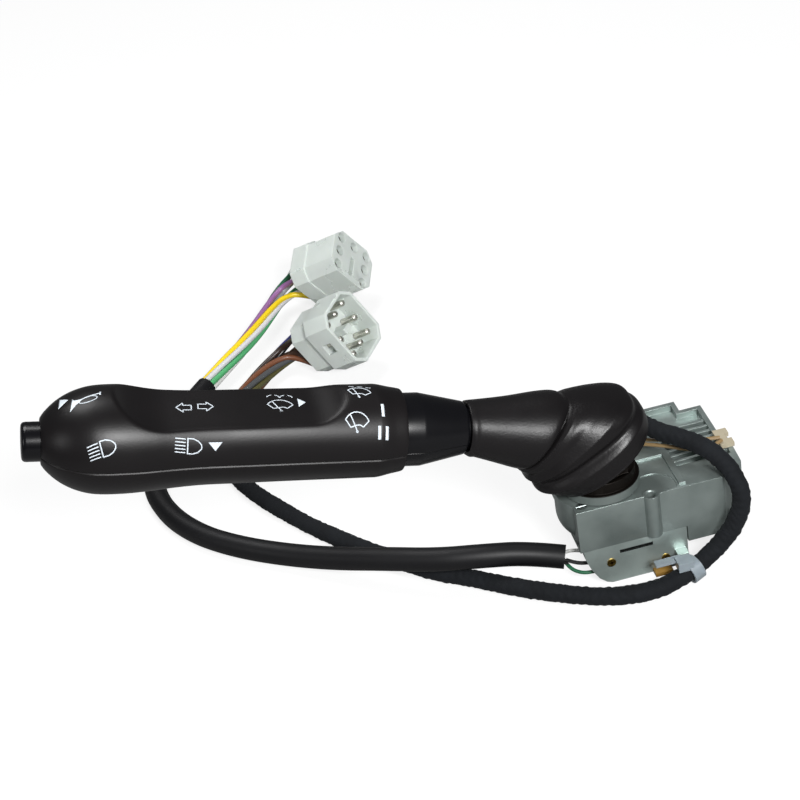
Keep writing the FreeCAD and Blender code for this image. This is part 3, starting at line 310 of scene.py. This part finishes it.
# Rates are in radians a millimetre along the cord, depths in millimetres
CREASE = 0.14
CREASE_RATE = 2.3
CREASE_SWAY = 1.7
SWAY_RATE = 0.21
GROUP_RATE = 0.37
GROUPS_ROUND = 3.0
LUMPS = 0.10
LUMP_RATE = 0.16
LUMP_SWAY = 1.3
LUMP_DRIFT = 0.05
AROUND = 48
harness_line = spline_points(HARNESS_ROUTE)
ahead, side, over = carried_frames(harness_line)
run = np.concatenate([[0.0], np.cumsum(np.linalg.norm(np.diff(harness_line, axis=0), axis=1))]) / MM
run = run[:, None]
angle = np.linspace(0, 2 * np.pi, AROUND, endpoint=False)[None, :]
# The spiral climbs one pitch a turn, so its saw tooth is the fraction of run / pitch less angle / full turn
tooth = np.mod(run / TAPE_PITCH - angle / (2 * np.pi), 1.0)
ridge = TAPE_THICK * (1 - tooth) ** 3
# Creases are short waves across the tape, swayed round it and gathered in groups by a slower wave
crease = np.sin(run * CREASE_RATE + CREASE_SWAY * np.sin(angle * 2 + run * SWAY_RATE))
crease = crease * np.sin(run * GROUP_RATE + angle * GROUPS_ROUND)
# Lumps are the wires showing through: one slow wave along the cord that also leans round it
lumps = LUMPS * np.sin(run * LUMP_RATE + LUMP_SWAY * np.cos(angle - run * LUMP_DRIFT))
thick = HARNESS_D / 2 - TAPE_INSET + ridge + CREASE * crease + lumps
ring = np.cos(angle)[:, :, None] * side[:, None, :] + np.sin(angle)[:, :, None] * over[:, None, :]
harness_points = harness_line[:, None, :] + ring * thick[:, :, None] * MM
harness_mesh = closed_mesh(grid_mesh("harness_tape", harness_points, round_v=True), caps=True)

cloth_tape = bare_material("black_cloth_tape")
place = add(cloth_tape, "ShaderNodeTexCoord").outputs["Object"]
# Threads of the cloth are about 0.3 mm apart, drawn twice as far apart so that they show
THREAD_APART = 0.6
WEAVE_DEPTH = 0.06
FLUFF_ACROSS = 6.0
threads = add(cloth_tape, "ShaderNodeTexVoronoi", {"Vector": place, "Scale": 1 / (THREAD_APART * MM)})
fluff = add(cloth_tape, "ShaderNodeTexNoise", {"Vector": place, "Scale": 1 / (FLUFF_ACROSS * MM),
                                               "Detail": 6.0})
shade = add(cloth_tape, "ShaderNodeMix", {0: fluff.outputs[0], 6: colour("#08090b"), 7: colour("#16191d")},
            data_type="RGBA")
weave = add(cloth_tape, "ShaderNodeBump", {"Height": threads.outputs["Distance"],
                                           "Distance": WEAVE_DEPTH * MM})
cloth = add(cloth_tape, "ShaderNodeBsdfPrincipled", {"Base Color": shade.outputs[2], "Roughness": 0.86,
                                                     "Normal": weave.outputs[0], "Specular IOR Level": 0.2,
                                                     "Sheen Weight": 0.05, "Sheen Roughness": 0.6,
                                                     "Sheen Tint": colour("#8a9096")})
add(cloth_tape, "ShaderNodeOutputMaterial", {"Surface": cloth.outputs[0]})
harness = piece("harness_tape", harness_mesh, cloth_tape, "base", ["harness"])


# Single wires: stranded copper in coloured PVC, 2.4 mm over the insulation. They leave each cord in a twisted
# bundle, one in the middle and the others round it, and spread to the cavities of a connector.
WIRE_D = 2.4
WIRE_STEPS = 14
BUNDLE_SLACK = 1.04
# The fan opens with the share of the way raised to this power, and the bundle turns by this many degrees
FAN_POWER = 6
TWIST = 150.0
COLUMN_PITCH = 8.4
CAVITY_PITCH = 7.0
UPPER_ROUTE = (
    (-127.6, 155.7, 5.4), (-119.0, 165.5, 6.2), (-109.8, 176.0, 6.6), (-101.0, 187.5, 7.0),
    (-93.3, 199.5, 7.5), (-86.3, 210.0, 8.0), (-78.7, 213.1, 10.7),
)
LOWER_ROUTE = (
    (-118.5, 136.0, 4.3), (-111.0, 145.8, 4.4), (-103.8, 154.0, 4.8), (-96.3, 160.4, 6.0),
    (-88.0, 163.4, 8.6),
)
SOCKET = {"face": (-52.6, 198.2, 24.0), "aim": (0.764, -0.489, 0.422), "roll": -65.6, "length": 24.0}
PLUG = {"face": (-62.7, 144.6, 24.0), "aim": (0.644, -0.590, 0.487), "roll": -80.0, "length": 25.0}
UPPER_COLOURS = ("#8a5f8f", "#1d5a3c", "#d5d5d2", "#e3c51c", "#c9c9cc", "#4fa36a", "#8f9296")
LOWER_COLOURS = ("#2a1c14", "#3d3f78", "#161616", "#6a4029", "#47494b", "#4d4a2a", "#5b3a22", "#3b2a20")
SOCKET_PLACES = [(side * COLUMN_PITCH, row * CAVITY_PITCH) for side in (-1, 1) for row in (-1, 0, 1)]
SOCKET_PLACES.append((0.0, CAVITY_PITCH))
PLUG_PLACES = SOCKET_PLACES + [(0.0, -CAVITY_PITCH)]


def across_and_up(ahead):
    """The level and the upright direction across each row of directions."""
    level = unit(np.cross((0, 0, 1), ahead))
    return level, np.cross(ahead, level)


def wire_fan(name, route, connector, places, colours, node):
    """Wires along a route: each starts at its own place in the bundle and ends at its own cavity."""
    aim = unit(np.array(connector["aim"]))
    points = np.array([*route, connector["face"] - aim * connector["length"]])
    middle = points[2:] - points[:-2]
    ahead = unit(np.concatenate([points[1:2] - points[:1], middle, points[-1:] - points[-2:-1]]))
    level, upright = across_and_up(ahead)
    # The connector's own two directions across, rolled about its aim
    flat, tall = across_and_up(aim)
    c, n = np.cos(np.radians(connector["roll"])), np.sin(np.radians(connector["roll"]))
    offsets = [(flat * c + tall * n) * y + (tall * c - flat * n) * z for y, z in places]
    ring = range(len(places) - 1)
    order = sorted(ring, key=lambda i: np.arctan2(offsets[i] @ upright[-1], offsets[i] @ level[-1]))
    radius = WIRE_D * BUNDLE_SLACK / (2 * np.sin(np.pi / len(order)))
    share = np.linspace(0, 1, len(points))
    fan = (share ** FAN_POWER)[:, None]
    made = []
    for number, offset in enumerate(offsets):
        line = points + offset * fan
        if number in order:
            around = 2 * np.pi * order.index(number) / len(order) - np.pi
            around = around - np.radians(TWIST) * (1 - share)
            out = level * np.cos(around)[:, None] + upright * np.sin(around)[:, None]
            line = line + out * radius * (1 - fan)
        wire = route_curve("%s_%d" % (name, number + 1), line.tolist(), WIRE_D, WIRE_STEPS)
        insulation = finished_surface("pvc_insulation_%s_%d" % (name, number + 1), (colours[number],) * 2,
                                      0.38, 12.0, 0.8, 0.01)
        wire.data.materials.append(insulation)
        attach(wire, "base")
        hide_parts(node)
        made.append((wire, line * MM))
    return made


def wire_length(line):
    """The length of the smooth line through a wire's control points, in metres."""
    smooth = spline_points(line / MM)
    return float(np.linalg.norm(np.diff(smooth, axis=0), axis=1).sum())


upper_wires = wire_fan("upper_wire", UPPER_ROUTE, SOCKET, SOCKET_PLACES, UPPER_COLOURS, "wires_upper")
lower_wires = wire_fan("lower_wire", LOWER_ROUTE, PLUG, PLUG_PLACES, LOWER_COLOURS, "wires_lower")
# The real length of each free wire is worked out along its smooth line, and not kept
for wires, ends in ((upper_wires, ["socket_housing", "socket_contacts"]),
                    (lower_wires, ["plug_housing", "plug_pins"])):
    for wire, line in wires:
        wire_length(line)


# Grip: two half shells moulded in black ABS with a fine matt grain, joined along a line a little below the
# middle. A long flat for the thumb is sunk into the top.
# The lever's own frame: its tilt pin, and its directions outward, upward and to the front
TILT_PIN = np.array((-3.0, -10.0, 59.2))
RISE = np.radians(14.5)
LEVER = np.array((-np.cos(RISE), 0, np.sin(RISE)))
LEVER_UP = np.array((np.sin(RISE), 0, np.cos(RISE)))
TO_FRONT = np.array((0, -1.0, 0))
GRIP_PART = -1.8
# The wall is drawn thinner than the solid's, so that the mouth clears the collar as the grip turns
GRIP_WALL = 1.0
GRIP_STATIONS = (67.8, 68.2, 72, 76, 80, 98, 110, 122, 134, 143, 150, 156, 161, 166, 170, 174, 177.5, 180.5,
                 183, 184.3, 184.6, 184.5)
GRIP_RADII = (13.3, 13.75, 14.5, 15.35, 15.45, 15.5, 15.55, 15.65, 15.75, 16.3, 17.0, 17.45, 17.6, 17.5,
              17.0, 15.8, 14.1, 12.0, 9.6, 7.9, 7.3, 6.8)
GRIP_ROWS = 320
GRIP_COLUMNS = 150
# Columns crowd toward the joint, where the edge is rounded in
SEAM_CROWDING = 0.54
SEAM_ROUND = 0.45
SEAM_WIDTH = 0.35
FACET_Z = 10.4
FACET_ENDS = (99.0, 144.0)
FACET_ARCS = (15.7, 25.8)
FACET_SOFTNESS = 0.35


def on_lever(s, y, z):
    """World points in metres of a station along the lever, a distance to the front and a height, in mm."""
    s, y, z = (np.asarray(v, float)[..., None] for v in (s, y, z))
    return (TILT_PIN + s * LEVER + y * TO_FRONT + z * LEVER_UP) * MM


def smooth_curve(x, stations, values):
    """A curve through values at stations: cubic pieces whose slopes are those of the neighbouring chords."""
    stations = np.asarray(stations, float)
    values = np.asarray(values, float)
    slopes = np.gradient(values, stations)
    i = np.clip(np.searchsorted(stations, x) - 1, 0, len(stations) - 2)
    width = stations[i + 1] - stations[i]
    t = np.clip((x - stations[i]) / width, 0, 1)
    a = values[i] * (1 + 2 * t) * (1 - t) ** 2 + values[i + 1] * t * t * (3 - 2 * t)
    return a + width * (slopes[i] * t * (1 - t) ** 2 - slopes[i + 1] * t * t * (1 - t))


def grip_height(z, s):
    """The body's height cut down to the thumb flat: the softened smaller of the two."""
    flat = FACET_Z
    for beyond, arc_r in zip((FACET_ENDS[0] - s, s - FACET_ENDS[1]), FACET_ARCS):
        flat = flat + arc_r - np.sqrt(arc_r ** 2 - np.clip(beyond, 0, arc_r) ** 2)
    low = np.minimum(z, flat)
    return low - FACET_SOFTNESS * np.log1p(np.exp(-np.abs(z - flat) / FACET_SOFTNESS))


def grip_profile(t):
    """Station and radius of the grip's outline at a share t of the way from the mouth to the button."""
    count = np.arange(len(GRIP_STATIONS)) / (len(GRIP_STATIONS) - 1)
    return smooth_curve(t, count, GRIP_STATIONS), smooth_curve(t, count, GRIP_RADII)


def grip_shell(name, first, last, node):
    """One half shell: the outline swept from one edge of the joint to the other, its edge rounded in."""
    t = np.linspace(0, 1, GRIP_ROWS)[:, None]
    s, r = grip_profile(t)
    joint = np.arccos(np.clip(GRIP_PART / r, -1, 1))
    u = np.linspace(0, 1, GRIP_COLUMNS)[None, :]
    u = u - SEAM_CROWDING * np.sin(2 * np.pi * u) / (2 * np.pi)
    around = first(joint) * (1 - u) + last(joint) * u
    edge = np.minimum(around - first(joint), last(joint) - around) * r
    r = r - SEAM_ROUND * np.exp(-(edge / SEAM_WIDTH) ** 2)
    s = s + 0 * around
    y = r * np.sin(around)
    z = grip_height(r * np.cos(around), s)
    mesh = grid_mesh(name, on_lever(s, y, z))
    shell = piece(name, mesh, grip_abs, None)
    wall = shell.modifiers.new("wall", "SOLIDIFY")
    wall.thickness = GRIP_WALL * MM
    wall.offset = -1.0
    wall.use_even_offset = False
    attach(shell, "grip")
    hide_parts(node)


grip_abs = finished_surface("black_abs_fine_grain", ("#0c0b0c", "#131011"), 0.38, 40.0, 0.7, 0.018, **BLACK)
grip_shell("grip_upper_shell", lambda j: -j, lambda j: j, "grip_upper")
grip_shell("grip_lower_shell", lambda j: j, lambda j: 2 * np.pi - j, "grip_lower")


# Symbols on the grip: white ink pressed on by pad printing. Each is drawn flat in millimetres, right and
# down as the driver sees it, and laid on the grip's surface.
INK = 0.38
INK_PROUD = 0.03
INK_THICK = 0.05
INK_STEP = 0.3
INK_OVERLAP = 0.35
INK_CELLS = 9


def stroke(points, width, closed=False):
    """Cells of a line of one width through points: short four-sided cells that overlap where it turns."""
    points = np.array(points + points[:1] if closed else points, float)
    cells = []
    for a, b in zip(points[:-1], points[1:]):
        way = unit(b - a)
        side = np.array((-way[1], way[0])) * width / 2
        grow = way * width * INK_OVERLAP
        count = max(2, int(np.linalg.norm(b - a) / INK_STEP) + 1)
        t = np.linspace(0, 1, count)[:, None]
        line = (a - grow) * (1 - t) + (b + grow) * t
        cells.append(np.stack([line - side, line + side], 1))
    return cells


def filled(a, b, c):
    """Cells of a filled triangle, as strips from its first side to its last corner."""
    t = np.linspace(0, 0.999, INK_CELLS)[:, None]
    u = np.linspace(0, 1, INK_CELLS)[None, :, None]
    left = np.array(a) * (1 - t) + np.array(c) * t
    right = np.array(b) * (1 - t) + np.array(c) * t
    return [left[:, None, :] * (1 - u) + right[:, None, :] * u]


def arc(x, y, rx, ry, start, end, count=9):
    """Points on an ellipse between two angles in degrees."""
    a = np.radians(np.linspace(start, end, count))
    return [(x + rx * np.cos(v), y + ry * np.sin(v)) for v in a]


BEAM = sum([stroke([(-4.3, b), (-1.2, b)], INK) for b in (-2.3, -1.15, 0.0, 1.15, 2.3)], [])
BEAM += stroke([(-0.4, 2.6), (-0.4, -2.6), (1.4, -2.55), (2.9, -1.9), (3.9, -0.8), (4.1, 0.0), (3.9, 0.8),
                (2.9, 1.9), (1.4, 2.55)], INK, True)
ARROW = stroke([(-2.5, 0.0), (-0.3, -2.7), (-0.3, -1.4), (2.4, -1.4), (2.4, 1.4), (-0.3, 1.4),
                (-0.3, 2.7)], INK, True)
SCREEN = stroke(arc(0.0, 3.0, 4.9, 6.0, 212, 328) + [(2.3, 1.9), (1.0, 1.3), (-0.2, 1.5), (-2.2, 2.3)],
                INK, True)
BLADE = stroke([(-2.5, -1.9), (0.1, 3.2)], INK) + stroke(arc(0.2, 3.5, 0.3, 0.3, 0, 300, 7), INK)
SPRAY = sum([stroke(arc(x, -4.6, 2.0, 1.6, start, end, 4), INK)
             for x, start, end in ((-2.1, 190, 250), (-2.1, 290, 360), (2.1, 180, 250), (2.1, 290, 350))], [])
DASHES = sum([stroke([(x, y), (x + 1.7, y)], 0.3)
              for x, y in ((-3.9, -3.8), (-0.9, -4.1), (2.1, -3.8))], [])
TRUMPET = filled((-5.4, 2.4), (-3.3, -2.5), (-2.4, 0.5)) + filled((-3.4, -1.5), (-2.8, 0.9), (-0.6, -0.4))
TRUMPET += stroke([(-2.6, -0.4), (5.0, -0.9)], 0.45) + stroke(arc(0.9, 0.6, 2.9, 1.2, -60, 250, 14), 0.3)
TRUMPET += stroke([(5.4, -1.5), (4.9, -0.2)], 0.45)
POINTER = filled((-1.3, -2.6), (-1.3, 2.6), (1.5, 0.0))
ONE_BAR = stroke([(0, -1.9), (0, 1.9)], 1.0)
TWO_BARS = stroke([(-1.6, -1.9), (-1.6, 1.9)], 1.0) + stroke([(0.9, -1.9), (0.9, 1.9)], 1.0)
# Each symbol has its station, its way round from the top to the front, its turn in degrees and two stretches
SYMBOLS = (
    (POINTER, 177.4, -0.4, 8, 1, 1), (TRUMPET, 170.9, 2.2, -12, 1, 1), (BEAM, 166.3, 20.4, -13, 1, 1),
    (ARROW, 139.4, -1.1, 4, 1, 1), (ARROW, 132.4, -1.4, 184, 1, 1), (BEAM, 139.4, 19.0, 3, 1, 0.95),
    (POINTER, 131.0, 19.0, 90, 1, 0.85), (SCREEN + BLADE + SPRAY, 108.2, -1.0, 6, 1, 1),
    (POINTER, 101.0, -2.1, 3, 0.9, 1), (SCREEN + BLADE + DASHES, 82.8, 0.4, 14, 0.92, 0.8),
    (SCREEN + BLADE, 85.1, 12.1, 6, 0.92, 1), (ONE_BAR, 76.3, 8.6, 2, 1, 1), (TWO_BARS, 76.3, 16.2, 2, 1, 1),
)
# Stations past this many turn back into the button's hole, where no symbol is
PRINTABLE = 19


def radius_at(s):
    """The grip's radius at a station."""
    return smooth_curve(s, GRIP_STATIONS[:PRINTABLE], GRIP_RADII[:PRINTABLE])


def printed(name, cells, s0, v0, turn, wide, high):
    """Ink laid on the grip: a symbol's flat cells turned, stretched and wrapped round the lever's axis."""
    c, n = np.cos(np.radians(turn)), np.sin(np.radians(turn))
    grids = []
    for cell in cells:
        a = cell[..., 0] * wide
        b = cell[..., 1] * high
        s = s0 - (a * c - b * n)
        r = radius_at(s)
        around = (v0 + a * n + b * c) / r
        r = r + INK_PROUD
        z = grip_height(r * np.cos(around), s) + INK_PROUD
        grids.append(on_lever(s, r * np.sin(around), z))
    work = bmesh.new()
    for grid in grids:
        part = grid_mesh("ink", grid)
        work.from_mesh(part)
        bpy.data.meshes.remove(part)
    mesh = bpy.data.meshes.new(name)
    work.to_mesh(mesh)
    work.free()
    return closed_mesh(mesh)


white_ink = finished_surface("white_pad_printing_ink", ("#c9d2da", "#d6dee5"), 0.5, 8.0, 0.4, 0.004)
for number, symbol in enumerate(SYMBOLS):
    ink = piece("symbol_%02d" % (number + 1), printed("symbol", *symbol), white_ink, None)
    film = ink.modifiers.new("film", "SOLIDIFY")
    film.thickness = INK_THICK * MM
    film.offset = 0.0
    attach(ink, "grip")


# Horn button: a glossy black cap that stands out of the grip's end, with its edge rolled over.
def lathe(name, loop, material, body, nodes, around=96, spread=(0, 360)):
    """A closed outline of stations and radii turned about the lever's axis."""
    loop = np.array(loop, float)
    a = np.radians(np.linspace(*spread, around, endpoint=spread[1] - spread[0] < 360))
    s = loop[:, 0][:, None] + 0 * a[None, :]
    r = loop[:, 1][:, None]
    points = on_lever(s, r * np.sin(a)[None, :], r * np.cos(a)[None, :])
    whole = spread[1] - spread[0] == 360
    mesh = grid_mesh(name, points, round_u=True, round_v=whole)
    closed_mesh(mesh, caps=not whole)
    piece(name, mesh, material, body, nodes)


def rounded(points, radius, count=5):
    """An outline with each corner replaced by a short arc of about the given radius."""
    points = np.array(points, float)
    before = np.roll(points, 1, 0)
    after = np.roll(points, -1, 0)
    into = np.linalg.norm(before - points, axis=1, keepdims=True)
    out = np.linalg.norm(after - points, axis=1, keepdims=True)
    reach = np.minimum(radius, 0.45 * np.minimum(into, out))
    start = points + (before - points) / into * reach
    end = points + (after - points) / out * reach
    t = np.linspace(0, 1, count)[None, :, None]
    bends = start[:, None] * (1 - t) ** 2 + 2 * points[:, None] * t * (1 - t) + end[:, None] * t * t
    return bends.reshape(-1, 2)


gloss_abs = finished_surface("black_abs_polished", ("#08080a", "#0c0c0f"), 0.24, 30.0, 1.5, 0.006, **BLACK)
BUTTON = ((180.2, 0.05), (180.2, 7.8), (181.8, 7.8), (181.8, 6.4), (190.6, 6.4), (190.6, 0.05))
BUTTON_ROUND = 1.6
lathe("horn_button_cap", rounded(BUTTON, BUTTON_ROUND), gloss_abs, "button", ["horn_button"])


# Collar: a cone of polished black nylon in two halves, clamped round the lever tube below the grip.
COLLAR = ((32.0, 6.0), (32.0, 7.3), (46.0, 7.3), (46.0, 8.6), (46.6, 8.95), (61.6, 12.2), (76.0, 12.2),
          (76.0, 6.0))
COLLAR_ROUND = 0.5
for half, spread in (("upper", (-98.4, 98.4)), ("lower", (98.6, 261.4))):
    lathe("collar_%s_half" % half, rounded(COLLAR, COLLAR_ROUND), gloss_abs, "lever",
          ["collar_" + half], around=90, spread=spread)


# Boot: moulded black rubber, a fan of folds that opens from the lever's sleeve down to the turret. It is one
# skin 1.5 mm thick, and its matt grain catches a soft light on each fold.
# Each ring has its middle across and up, its tilt in degrees, two half axes, and how square it is
BOOT_RINGS = np.array((
    (-1.7, 46.4, 29.6, 19.2, 15.6, 2.2), (-3.2, 48.4, 29.0, 20.9, 16.0, 2.3),
    (-6.3, 52.4, 28.0, 22.4, 16.0, 2.5), (-7.8, 54.8, 28.6, 21.6, 15.0, 2.6),
    (-9.6, 57.4, 29.5, 21.8, 14.9, 2.7), (-13.9, 59.4, 35.0, 19.2, 14.2, 2.6),
    (-18.6, 60.8, 41.5, 16.5, 13.2, 2.4), (-21.6, 61.8, 45.5, 14.8, 11.8, 2.2),
    (-24.0, 62.9, 52.0, 14.3, 13.6, 2.0), (-34.0, 65.7, 68.0, 11.6, 11.6, 2.0),
    (-46.8, 70.5, 75.5, 9.1, 9.1, 2.0),
))
# Each fold is its place among the rings, how far it stands out, and its width
FOLDS = ((0.2, 0.35, 0.2), (3.2, -0.7, 0.45), (5.5, -0.3, 0.3), (7.0, -1.5, 0.13), (9.9, 0.4, 0.07))
# Each crest comes to an edge that is rounded over
CRESTS = ((2.0, 1.1, 0.5), (4.6, 1.2, 0.45), (6.5, 0.6, 0.16))
CREST_ROUND = 0.08
LIP_ROLL = 0.8
LIP_SHARE = 0.12
# How much of the folds stays round each ring: a mean, less a part at the high end, more at the front
FADE_MEAN = 0.55
FADE_HIGH_END = 0.6
FADE_FRONT = 0.5
FADE_LEAST = 0.1
BOOT_WALL = 1.5
BOOT_ROWS = 360
BOOT_COLUMNS = 144
share = np.linspace(0, len(BOOT_RINGS) - 1, BOOT_ROWS)
at = np.arange(len(BOOT_RINGS))
x, z, tilt, half_length, half_width, power = (smooth_curve(share, at, column)[:, None]
                                              for column in BOOT_RINGS.T)
proud = sum(height * np.exp(-((share - place) / width) ** 2) for place, height, width in FOLDS)
proud = proud + sum(height * np.exp(-np.hypot(share - place, CREST_ROUND) / width)
                    for place, height, width in CRESTS)
# The lip at the mouth is rolled in
proud = (proud - LIP_ROLL * np.clip(1 - share / LIP_SHARE, 0, 1) ** 2)[:, None]
tilt = np.radians(tilt)
a = np.linspace(0, 2 * np.pi, BOOT_COLUMNS, endpoint=False)[None, :]
# The folds stand out at the front and at the low end, and die out toward the high end and the back
proud = proud * np.clip(FADE_MEAN - FADE_HIGH_END * np.cos(a) - FADE_FRONT * np.sin(a), FADE_LEAST, 1)
# A squared ellipse: each half axis times the sine or cosine raised to two over the power, with its sign
along_it = (half_length + proud) * np.sign(np.cos(a)) * np.abs(np.cos(a)) ** (2 / power)
across_it = (half_width + proud) * np.sign(np.sin(a)) * np.abs(np.sin(a)) ** (2 / power)
boot_points = np.stack([x + np.cos(tilt) * along_it, TILT_PIN[1] + across_it,
                        z + np.sin(tilt) * along_it], -1) * MM
boot_mesh = closed_mesh(grid_mesh("boot_rubber", boot_points, round_v=True))
boot_rubber = finished_surface("black_moulded_rubber", ("#0d0c0d", "#141213"), 0.36, 25.0, 0.9, 0.05, **BLACK)
boot = piece("boot_rubber", boot_mesh, boot_rubber, None, ["boot"])
skin = boot.modifiers.new("skin", "SOLIDIFY")
skin.thickness = BOOT_WALL * MM
skin.offset = -1.0
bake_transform(boot)


# Switch housing and the block below it: zinc die castings, as cast and lightly blasted, with every edge
# rounded by the mould. Copies of the solids have their facets joined and their edges rounded.
MERGE_WITHIN = 2e-6
FLAT_WITHIN = np.radians(1.0)
EDGE_FROM = np.radians(28)
HOUSING_EDGE = 0.12
CASTING_EDGE = 0.2


def softened(name, node, width, material, body, clamp=False):
    """A copy of a solid's mesh with flat facets joined and its edges rounded."""
    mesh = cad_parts[node].data.copy()
    mesh.name = name
    work = bmesh.new()
    work.from_mesh(mesh)
    bmesh.ops.remove_doubles(work, verts=work.verts, dist=MERGE_WITHIN)
    bmesh.ops.dissolve_limit(work, angle_limit=FLAT_WITHIN, verts=work.verts, edges=work.edges)
    work.to_mesh(mesh)
    work.free()
    mesh.polygons.foreach_set("use_smooth", np.full(len(mesh.polygons), True))
    mesh.set_sharp_from_angle(angle=EDGE_FROM)
    made = piece(name, mesh, material, body, [node])
    edge = made.modifiers.new("edges", "BEVEL")
    edge.width = width * MM
    edge.segments = 2
    edge.limit_method = "ANGLE"
    edge.angle_limit = EDGE_FROM
    edge.use_clamp_overlap = clamp
    edge.harden_normals = True


def cast_metal(name, shades, roughness):
    """Die-cast zinc: grey with cloudy flow marks and a fine blasted grain."""
    return finished_surface(name, shades, roughness, 9.0, 0.8, 0.05, Metallic=0.75)


def object_axes(material):
    """The object's own coordinates, to be taken by X, Y or Z."""
    place = add(material, "ShaderNodeTexCoord").outputs["Object"]
    return add(material, "ShaderNodeSeparateXYZ", {0: place}).outputs


def tinted_where(material, mask, code):
    """Lays a colour over the material's own by a mask from 0 to 1."""
    shader = next(n for n in material.node_tree.nodes if n.type == "BSDF_PRINCIPLED")
    own = shader.inputs["Base Color"].links[0].from_socket
    over = add(material, "ShaderNodeMix", {0: mask, 6: own, 7: colour(code)}, data_type="RGBA")
    material.node_tree.links.new(over.outputs[2], shader.inputs["Base Color"])


zinc = cast_metal("die_cast_zinc", ("#7b8683", "#99a3a0"), 0.42)
softened("switch_housing_casting", "switch_housing", HOUSING_EDGE, zinc, "base")

light_zinc = cast_metal("die_cast_zinc_light", ("#98a5a1", "#b8c4c0"), 0.42)
# The slot in the block's front face has painted shade inside it: its middle and half its size, in mm, across
# and up. The painted dark band reaches through the block and shows as a thin line on its rear face.
SLOT_SHADE = {"X": (4.0, 6.0), "Z": (12.6, 0.46)}
axes = object_axes(light_zinc)
across, up = (add(light_zinc, "ShaderNodeMath", {0: axes[axis], 1: middle * MM, 2: half * MM},
                  operation="COMPARE") for axis, (middle, half) in SLOT_SHADE.items())
painted_slot_shade = add(light_zinc, "ShaderNodeMath", {0: across.outputs[0], 1: up.outputs[0]}, operation="MULTIPLY")
# Painted shade: the slot is tinted near-black where shade falls in it
tinted_where(light_zinc, painted_slot_shade.outputs[0], "#141716")
softened("contact_block_casting", "contact_block", CASTING_EDGE, light_zinc, "base",
         clamp=True)


# Turret: a darker casting, with painted shade above its flange: a near-black brown where the boot hangs over
# it.
FLANGE_TOP = 37.7
SHADE_EDGE = 0.2
dark_zinc = cast_metal("die_cast_zinc_dark", ("#6f7976", "#87908d"), 0.5)
# Painted shade: above the flange the casting is tinted near-black brown, as the boot shades it
painted_boot_shade = add(dark_zinc, "ShaderNodeMapRange", {0: object_axes(dark_zinc)["Z"],
                                                1: (FLANGE_TOP - SHADE_EDGE) * MM,
                                                2: (FLANGE_TOP + SHADE_EDGE) * MM})
tinted_where(dark_zinc, painted_boot_shade.outputs[0], "#15110d")
softened("turret_casting", "turret", CASTING_EDGE, dark_zinc, "turret_body")


# Connectors: undyed nylon 6.6, milky and a little translucent, moulded with small corner radii.
def milky(name, shades=("#dfe8e2", "#eef4f0")):
    """Undyed nylon: pale and slightly green where it is thick, with light spread under the surface."""
    return finished_surface(name, shades, 0.30, 14.0, 1.5, 0.01,
                            **{"Subsurface Weight": 0.25, "Subsurface Radius": (0.003, 0.003, 0.0027),
                               "Subsurface Scale": 1.0, "Transmission Weight": 0.32})


NYLON_EDGE = 0.25
nylon = milky("natural_nylon")
softened("socket_body", "socket_housing", NYLON_EDGE, nylon, "base", clamp=True)
softened("plug_body", "plug_housing", NYLON_EDGE, nylon, "base", clamp=True)


# Cable tie: the same nylon, greyer, as a band round the taped harness with its head on the block.
tie_nylon = milky("tie_nylon", ("#87929a", "#a0abb2"))
softened("cable_tie_band", "cable_tie", NYLON_EDGE, tie_nylon, "base", clamp=True)


# Small parts keep their solids and get the finish of the real ones, save the socket's contacts, whose tin is
# darkened with painted shade.
tin = finished_surface("tin_plate", ("#b4b3aa", "#d2d1c8"), 0.3, 3.0, 0.6, 0.01, Metallic=0.9)
# Painted shade: the socket's contacts lie deep in their cavities, so their tin is drawn darker and duller
# than the pins'
shaded_tin = finished_surface("tin_plate_painted_shade", ("#2e302b", "#3f413a"), 0.45, 3.0, 0.6, 0.01, Metallic=0.3)
brass = finished_surface("brass", ("#a8853c", "#c7a457"), 0.3, 2.0, 0.5, 0.01, Metallic=1.0)
steel = finished_surface("zinc_plated_steel", ("#8f9494", "#b2b6b5"), 0.32, 3.0, 0.5, 0.01, Metallic=1.0)
spring = finished_surface("drawn_spring_steel", ("#6f7274", "#85888a"), 0.3, 3.0, 0.5, 0.01, Metallic=1.0)
laminate = finished_surface("brown_paper_laminate", ("#7b5a22", "#9a7430"), 0.5, 4.0, 0.9, 0.03)
cream = finished_surface("cream_nylon", ("#968d78", "#ada48f"), 0.42, 9.0, 1.2, 0.02)
dull_black = finished_surface("black_nylon", ("#151515", "#1d1d1d"), 0.45, 9.0, 1.2, 0.02)
tan_wire = finished_surface("pvc_insulation_tan", ("#8a7350", "#7b6646"), 0.4, 5.0, 0.8, 0.01)
# The three side wires are one node: white at the top, black between and green below, by their heights in mm
side_wire = finished_surface("pvc_insulation_side", ("#161616", "#1a1a1a"), 0.4, 5.0, 0.8, 0.01)
for level, beyond, shade in ((6.1, "LESS_THAN", "#1d5a3c"), (8.95, "GREATER_THAN", "#d5d5d2")):
    mask = add(side_wire, "ShaderNodeMath", {0: object_axes(side_wire)["Z"], 1: level * MM}, operation=beyond)
    tinted_where(side_wire, mask.outputs[0], shade)
FINISHES = {
    "contact_plate": laminate, "brass_rivets": brass, "housing_screws": steel, "terminal_strip": cream,
    "tilt_pin": steel, "detent_plunger": steel, "detent_bridge": dull_black, "lever_tube": steel,
    "grip_screws": steel, "wiper_drum": cream, "washer_spring": spring, "tube_stop": spring,
    "horn_carrier": cream, "horn_contacts": brass, "horn_spring": spring, "socket_contacts": shaded_tin,
    "plug_pins": tin, "side_wires": side_wire, "top_wires": tan_wire,
}
for node, finish in FINISHES.items():
    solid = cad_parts[node]
    solid.data.materials.clear()
    solid.data.materials.append(finish)
